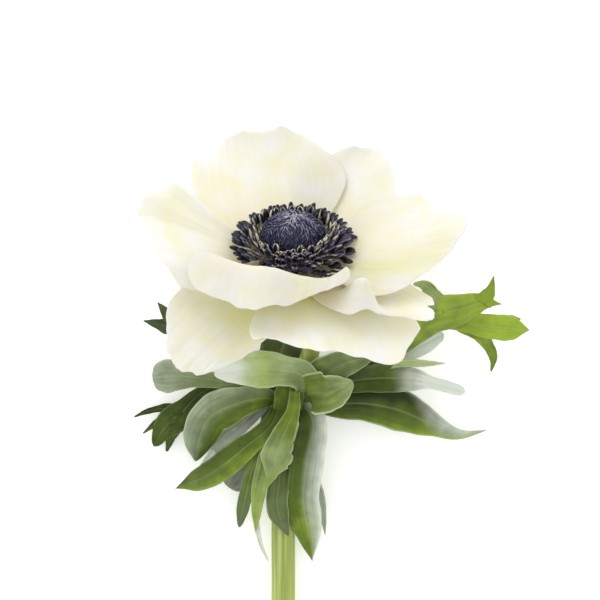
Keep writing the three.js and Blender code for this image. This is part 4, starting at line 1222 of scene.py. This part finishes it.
LEFT_BRACT = Bract("bract_left", 210, 0.2, (
    Lobe(((-8, -36.5, 9), (-15, -38, 10.4), (-22, -41.5, 9.6), (-25, -47, 7.6), (-26.5, -54, 4.4)),
         (4.5, 6, 8, 10, 11, 11, 10, 7.5, 1.6), 158, fold=-0.3, green_and_light=(0.5, 0.5, 0.45, 0.35),
         bloom_and_highlight=(0, 0.08, 0.12, 0.1), side_light_and_shade=(0.1, -0.45), rim=0.5),
    Lobe(((-15.5, -33, 4.2), (-22, -33.5, 5), (-26.5, -36.5, 5.2), (-30.5, -41, 5), (-35, -45, 3.6),
          (-38, -50, 2)), (1.6, 2.2, 2.7, 3, 3.5, 5.5, 8, 6, 2.2), 185, green_and_light=(0.05, 0.1, 0.2, 0.25),
         bloom_and_highlight=(0, 0)),
    Lobe(((-30, -40, 5), (-35.5, -39.5, 4), (-40, -40.5, 3), (-43.5, -42, 2.2)), (2.7, 3, 1.9, 1.4, 0.4),
         green_and_light=(0.1, 0.1), bloom_and_highlight=(0, 0)),
    Lobe(((-32, -41.5, 5), (-37, -43.5, 3.6), (-41, -46.5, 2.4)), (3.3, 3, 1.6, 0.4), green_and_light=(0.2, 0.2),
         bloom_and_highlight=(0, 0)),
    Lobe(((-30, -42, 5), (-33, -47, 3.6), (-34.5, -51.5, 2)), (3.8, 3.5, 2.4, 0.8), green_and_light=(0.2, 0.2),
         bloom_and_highlight=(0, 0)),
    Lobe(((-10, -33.5, 7), (-19, -32, 8.6), (-26.5, -31, 9), (-32.5, -30.5, 9), (-38, -31, 8)),
         (2.7, 3, 3.3, 3.5, 4.1, 5, 7, 9, 7), 170, fold=0.2, green_and_light=(0.45, 0.5), bloom_and_highlight=(0.05, 0.1, 0.15, 0.4),
         rim=0.3),
    Lobe(((-8, -33, 6), (-20, -25.5, 10), (-29.5, -18.5, 12), (-33, -16, 11.6)),
         (2.2, 4.5, 5.5, 5.5, 4.5, 2.7, 1.4), 176, green_and_light=(0.1, 0.1), bloom_and_highlight=(0.03, 0.03)),
    Lobe(((-31, -17.5, 12), (-34, -13.5, 11.4), (-36.5, -10.5, 10.4)), (3.3, 3.8, 2.4, 0.4),
         green_and_light=(0.1, 0.1), bloom_and_highlight=(0.03, 0.03)),
    Lobe(((-30, -18.5, 12), (-36, -16.5, 10.6), (-40.5, -15.5, 8.4)), (2.7, 4.1, 2.4, 0.4),
         green_and_light=(0.12, 0.12), bloom_and_highlight=(0.03, 0.03)),
    Lobe(((-8.5, -39.5, 4.4), (-13, -43.5, 5.4), (-18.5, -48, 4.6), (-23, -53.5, 3)),
         (2.2, 3, 3.8, 4.1, 4.1, 3, 1.1), 205, green_and_light=(0.15, 0.2), bloom_and_highlight=(0.45, 0.6)),
    Lobe(((-21.5, -51, 4), (-24, -54.5, 3), (-26.5, -57.5, 2.4)), (1.9, 1.6, 0.5), green_and_light=(0.4, 0.4),
         bloom_and_highlight=(1.1, 1.2)),
    Lobe(((-6.5, -38.5, 3.6), (-7.5, -45.5, 4.2), (-11, -52.5, 4.6), (-14.5, -57.5, 4), (-17, -61.5, 3)),
         (2.7, 3.3, 4.5, 6, 7.5, 8, 7.5, 5), fold=0.3, green_and_light=(0.15, 0.15), bloom_and_highlight=(0.2, 0.35), rim=0.8),
    Lobe(((-3.5, -32.5, 2.4), (-3, -25, 2.2), (-1.5, -18, 3)), (3.3, 7.5, 11, 12, 11), 235,
         green_and_light=(0.2, 0.25), bloom_and_highlight=(0.05, 0.05)),
))
RIGHT_BRACT = Bract("bract_right", -30, 0.3, (
    Lobe(((10.5, -38, 9), (20, -38, 10), (29.5, -40, 9.4), (37.5, -43.5, 8), (45.5, -46.5, 6),
          (53.5, -45.5, 4)), (3.8, 7, 9, 10.5, 11, 9, 5, 2.2, 0.4), 22, fold=-0.1,
         green_and_light=(0, 0.12, 0.4, 0.7), bloom_and_highlight=(-0.4, -0.4, -0.3, 0.4, 0.5), side_light_and_shade=(-0.8, 0.7), rim=0.4),
    Lobe(((8, -34.5, 9.4), (15.5, -32, 10.4), (25, -31, 10.8), (33.5, -31.5, 10.4), (40.5, -33, 9.6),
          (47, -35, 8)), (3.8, 5.5, 7, 7.5, 8, 6.5, 3.5, 3.5, 2.7), green_and_light=(0.2, 0.2, 0.35, 0.5),
         bloom_and_highlight=(0, 0, 0, 0.05, 0.9, 1.3, 1.4), side_light_and_shade=(0, 0.1)),
    Lobe(((24, -28.5, 10.4), (29.5, -27, 12), (36, -27, 12.8), (41.5, -27, 12)), (1.4, 1.9, 2.2, 1.6, 0.3),
         green_and_light=(0.8, 0.9), bloom_and_highlight=(0.2, 0.4)),
    Lobe(((15.5, -29.5, 7.6), (28, -25.5, 8), (34.5, -22.5, 9.4), (41, -19, 11.6)),
         (2.7, 3.8, 5, 5.5, 5.5, 5, 3), green_and_light=(0.4, 0.4), bloom_and_highlight=(0.8, 1.3, 1.3), rim=0.1),
    Lobe(((14.5, -31.5, 7), (27.5, -21.5, 12), (36.5, -14.5, 15.8), (44.5, -12.5, 17.6),
          (51, -10.5, 17.6), (56.5, -11, 16.6)), (3.3, 5, 6, 7, 8.5, 10, 9.5, 6, 0.4), 8, fold=0.1,
         green_and_light=(0, 0.2, 0.65, 0.85, 0.9), bloom_and_highlight=(0, 0, 0.03, 0), side_light_and_shade=(0.1, 0)),
    Lobe(((51, -10.5, 17.8), (53, -7.5, 18.6), (54, -3.5, 19.4)), (5.5, 3.8, 1.9, 0.4), green_and_light=(0.85, 0.7),
         bloom_and_highlight=(0, 0)),
    Lobe(((40, -14.5, 16.6), (46.5, -16, 17.6), (53.5, -17, 18), (59, -17.5, 17), (64, -18, 15.4)),
         (5, 5, 5.5, 6.5, 7, 5.5, 0.4), green_and_light=(0.75, 1.05), bloom_and_highlight=(0, 0)),
    Lobe(((56, -16, 17.4), (59, -15, 17), (61.5, -15, 16.4)), (3.3, 2.4, 0.5), green_and_light=(1, 1), bloom_and_highlight=(0, 0)),
    Lobe(((45, -16.5, 17.6), (49.5, -18.5, 16.8), (52.5, -21.5, 14), (54.5, -25.5, 11), (54, -29.5, 9)),
         (3.8, 4.1, 3.3, 2.4, 0.4), green_and_light=(0.8, 0.6), bloom_and_highlight=(0, 0)),
    Lobe(((40, -12, 16.6), (38, -9, 17.6), (35.5, -6, 18), (32.5, -5.5, 18)), (6, 4.5, 3.3, 0.8),
         green_and_light=(0.65, 0.8), bloom_and_highlight=(0.1, 0.2)),
    Lobe(((9, -32.5, 3), (17, -24, 3.6), (25, -15, 6)), (2.7, 5.5, 7, 6.5, 2.7), -50, green_and_light=(0.1, 0.15),
         bloom_and_highlight=(0.03, 0.03)),
))


@dataclass(frozen=True)
class Involucre:
    """The collar of three leafy bracts under the bloom."""

    sheath_inner: float = 3.85
    sheath_outer: float = 4.8
    sheath_height: float = 5.0
    sheath_thinning: float = 0.35
    above_clasp: float = 1.2
    sheath_span: float = 108.0
    rings: int = 14
    columns: int = 30
    bracts: tuple[Bract, ...] = (FRONT_BRACT, LEFT_BRACT, RIGHT_BRACT)

    def sheath(self, bract: Bract) -> Surface:
        """The clasping foot of a bract: part of a tube round the stem, thinner at both its ends.

        Args:
            bract: the bract, for its middle angle and its green.

        Returns:
            The closed surface, with the tones of a lobe.
        """
        half_span = self.sheath_span / 2
        turn = np.radians(np.linspace(bract.facing + half_span, bract.facing - half_span, self.columns))
        share = np.linspace(0, 1, self.rings)
        outer = self.sheath_outer - self.sheath_thinning * (1 - np.sin(np.pi * share)) ** 2
        radii = np.stack([outer, np.full(self.rings, self.sheath_inner)])
        way = np.stack([np.cos(turn), np.zeros(self.columns), np.sin(turn)], axis=-1)
        run = self.above_clasp - self.sheath_height * (1 - share)
        middle = CLASP + run[:, None, None] * np.array([0.0, 1.0, 0.0])
        tones = {"beside": 0.5, "green_and_light": bract.green_and_light, "bloom_and_highlight": 0.1, "rim": 0.0}
        return closed_sheet(*(middle + radii[..., None, None] * way),
                            {tone: np.array([[value]]) for tone, value in tones.items()})

    def build(self, blade: bpy.types.Material) -> None:
        """Makes a piece for each bract.

        Args:
            blade: the leaves' material.
        """
        root_radius = (self.sheath_inner + self.sheath_outer) / 2 + 0.2
        for number, bract in enumerate(self.bracts):
            lobes = [lobe.surface(root_radius, 100 * number + i) for i, lobe in enumerate(bract.lobes)]
            whole = Surface.joined([self.sheath(bract), *lobes])
            whole.to_object(f"{bract.node}_leaf", blade, "leaf", bract.node)


@dataclass(frozen=True)
class Scape:
    """The stem from its slanted cut to the receptacle that carries the bloom."""

    length_below_clasp: float = 126.0
    radius: float = 3.2
    pedicel_radius: float = 2.4
    cut_x: float = -4.4
    lower_route: tuple[tuple[float, float, float], ...] = (
        (-3.4, -128, 3.9), (-2.5, -92, 4.1), (-2.3, -62, 4.3))
    upper_route: tuple[tuple[float, float, float], ...] = ((2.3, -30.8, 6), (5.2, -23, 8.8), (4.4, -15, 13))
    pedicel_end: float = -9.5
    receptacle: tuple[tuple[float, float], ...] = ((-7.5, 2.6), (-5.6, 3.7), (-4.6, 4.2), (0.5, 4.2))
    thinning: tuple[float, float] = (9.0, 1.0)
    ribs: tuple[tuple[float, float, float], ...] = ((0.018, 11, 0), (0.01, 17, 1))
    cut_slope: float = 0.7
    pith_rings: tuple[float, ...] = (0.0, 0.5, 0.82, 0.97)
    pith_dips: tuple[float, ...] = (0.35, 0.3, 0.05, 0.0)
    pith_tones: tuple[float, ...] = (1.0, 1.0, 1.0, 0.6)
    slanted_rings: int = 14
    steps: int = 150
    head_steps: int = 16
    sides: int = 48

    def course(self, bloom: BloomFrame) -> tuple[np.ndarray, np.ndarray]:
        """Where the stem runs, from its cut through the clasp and up the bloom's axis.

        The path is a smooth curve that thins from 9 to 1 mm before the clasp. It ends in the
        receptacle, whose heights on the bloom's axis and radii are joined by straight steps.

        Args:
            bloom: the frame of the bloom, whose axis the stem's end follows.

        Returns:
            The path's points, and a radius for each.
        """
        heights, head_radii = np.array(self.receptacle).T
        on_axis = bloom.placed(UP * np.array([self.pedicel_end, *heights])[:, None])
        cut = (self.cut_x, CLASP[1] - self.length_below_clasp, self.radius)
        route = np.vstack([cut, self.lower_route, CLASP, self.upper_route, on_axis[0]])
        stem = smooth_path(route, np.linspace(0, 1, self.steps))
        thinned = ease(CLASP[1] - self.thinning[0], CLASP[1] - self.thinning[1], stem[:, 1])
        radii = self.radius + (self.pedicel_radius - self.radius) * thinned
        corners = np.vstack([stem[-1], on_axis[1:]])
        share = np.linspace(0, 1, len(corners))
        fine = np.linspace(0, 1, self.head_steps + 1)[1:]
        head = np.stack([np.interp(fine, share, column) for column in corners.T], axis=-1)
        head_radii = np.interp(fine, share, [radii[-1], *head_radii])
        return np.vstack([stem, head]), np.concatenate([radii, head_radii])

    def surface(self, bloom: BloomFrame) -> Surface:
        """The stem's closed surface.

        A round section is carried along the course, with ribs of a height, a count and a phase.
        The first rings slope back with height, as the knife left them, and those inside the
        rind step in to the pith.

        Args:
            bloom: the frame of the bloom, whose axis the stem's end follows.

        Returns:
            The surface with the tone "pith".
        """
        course, course_radii = self.course(bloom)
        inside = len(self.pith_rings)
        cut_rings = inside + 1
        path = np.vstack([np.repeat(course[:1], inside, axis=0), course])
        path[:inside, 1] += self.pith_dips
        radii = np.concatenate([course_radii[0] * np.array(self.pith_rings), course_radii])
        pith = np.concatenate([self.pith_tones, np.zeros(len(course))])
        # The rings of the cut lie almost in one place, so they are carried a little apart first.
        apart = path.copy()
        apart[:cut_rings, 1] = path[cut_rings, 1] - 0.1 * np.arange(cut_rings, 0, -1)
        turn = even_turns(self.sides)
        section = sum((height * np.cos(count * turn + phase) for height, count, phase in self.ribs), 1)
        whole = rods(apart[None], np.maximum(radii, 0.02)[None], np.array([[1.0, 0, 0]]), section,
                     {"pith": pith[None]})
        rings = whole.points[:len(path) * self.sides].reshape(len(path), self.sides, 3)
        slanted = np.clip(1 - np.arange(len(path)) / self.slanted_rings, 0, 1)
        slanted[:cut_rings] = 1
        rings[..., 1] += (path[:, 1] - apart[:, 1])[:, None]
        rings[..., 1] += self.cut_slope * slanted[:, None] * (rings[..., 2] - self.radius)
        whole.points[-2] = rings[0].mean(axis=0)
        whole.points[:, 2] = np.maximum(whole.points[:, 2], 0)
        return whole

    def build(self, bloom: BloomFrame, skin: bpy.types.Material) -> None:
        """Makes the stem's piece."""
        self.surface(bloom).to_object("scape", skin, "stem", "stem")


@dataclass(frozen=True)
class Studio:
    """The pale floor, the soft light and the camera that looks straight down."""

    camera_place: tuple[float, float, float] = (2.13, -9.87, 700.0)
    view_width: float = 160.0
    view_height_of_plane: float = 22.0
    sensor: float = 36.0
    floor_size: float = 6000.0
    floor_colour: str = "#FDFDFC"
    floor_light: str = "#FEFEFE"
    floor_mottle: float = 25.0
    floor_glow: float = 0.3
    sky: float = 0.96
    key_power: float = 2.6
    key_colour: str = "#F4F8FF"
    key_place: tuple[float, float, float] = (-300.0, 900.0, 500.0)
    key_size: float = 700.0

    def build_camera(self) -> None:
        """Adds the camera: its lens shows the view's width at the height of the plane."""
        data = bpy.data.cameras.new("camera")
        data.sensor_width = self.sensor
        data.lens = self.sensor * (self.camera_place[2] - self.view_height_of_plane) / self.view_width
        data.clip_start = 0.05
        camera = add_object("camera", data)
        camera.location = ((np.array(self.camera_place) - OUTLINE_MIDDLE) * MM).tolist()
        bpy.context.scene.camera = camera

    def build_floor(self) -> None:
        """Adds the floor: matt opal acrylic, faintly mottled and softly lit from below."""
        nodes = NodeTree(bpy.data.materials.new("opal_acrylic"))
        place = nodes.add("TexCoord", out="Object")
        noise = nodes.add("TexNoise", {"Vector": place, "Scale": 1 / (self.floor_mottle * MM), "Detail": 2.0})
        tone = nodes.add("ValToRGB", {0: noise}, stops=[(0.3, self.floor_colour), (0.7, self.floor_light)])
        surface = nodes.add("BsdfPrincipled", {
            "Base Color": tone, "Roughness": 0.9, "IOR": 1.49,
            "Emission Color": tone, "Emission Strength": self.floor_glow,
        })
        nodes.add("OutputMaterial", {"Surface": surface})
        half = self.floor_size / 2 * MM
        mesh = bpy.data.meshes.new("floor")
        mesh.from_pydata([(-half, -half, 0), (half, -half, 0), (half, half, 0), (-half, half, 0)], [],
                         [(0, 1, 2, 3)])
        mesh.materials.append(nodes.owner)
        add_object("floor", mesh)

    def build_light(self) -> None:
        """Adds the even sky and one large, soft, slightly cool lamp behind the bloom, aimed at it."""
        world = NodeTree(bpy.data.worlds.new("studio"))
        sky = world.add("Background", {"Color": (1.0, 1.0, 1.0, 1.0), "Strength": self.sky})
        world.add("OutputWorld", {"Surface": sky})
        bpy.context.scene.world = world.owner
        lamp = bpy.data.lights.new("key", "AREA")
        lamp.energy = self.key_power
        lamp.color = linear(self.key_colour)[:3]
        lamp.size = self.key_size * MM
        key = add_object("key", lamp)
        place = Vector((np.array(self.key_place) - OUTLINE_MIDDLE) * MM)
        aim = Vector((np.array(BloomFrame().centre) - OUTLINE_MIDDLE) * MM)
        key.location = place
        key.rotation_euler = (place - aim).to_track_quat("Z", "Y").to_euler()
        bpy.context.scene.view_settings.view_transform = "Standard"

    def build(self) -> None:
        """Sets the whole studio up."""
        self.build_camera()
        self.build_floor()
        self.build_light()
        log.info("studio is set up")


def main() -> None:
    """Builds the studio and then the flower from the inside out."""
    logging.basicConfig(level=logging.INFO, format="%(name)s: %(message)s")
    Studio().build()
    bloom = BloomFrame()
    PistilDome().build(bloom, CentreTissue(
        "style_tissue", ((0.0, "#16152A"), (0.35, "#3F3D60"), (0.7, "#9694A6"), (1.0, "#CFCDD4")), 0.5,
    ).material())
    StamenRing().build(bloom, CentreTissue(
        "stamen_tissue",
        ((0.0, "#100E18"), (0.22, "#29273C"), (0.42, "#737189"), (0.65, "#B7AF93"), (1.0, "#E8DFB8")),
        0.36, 0.28,
    ).material())
    Corolla().build(bloom, TepalTissue().material())
    Involucre().build(LeafBlade().material())
    Scape().build(bloom, StemSkin().material())


if __name__ == "__main__":
    main()
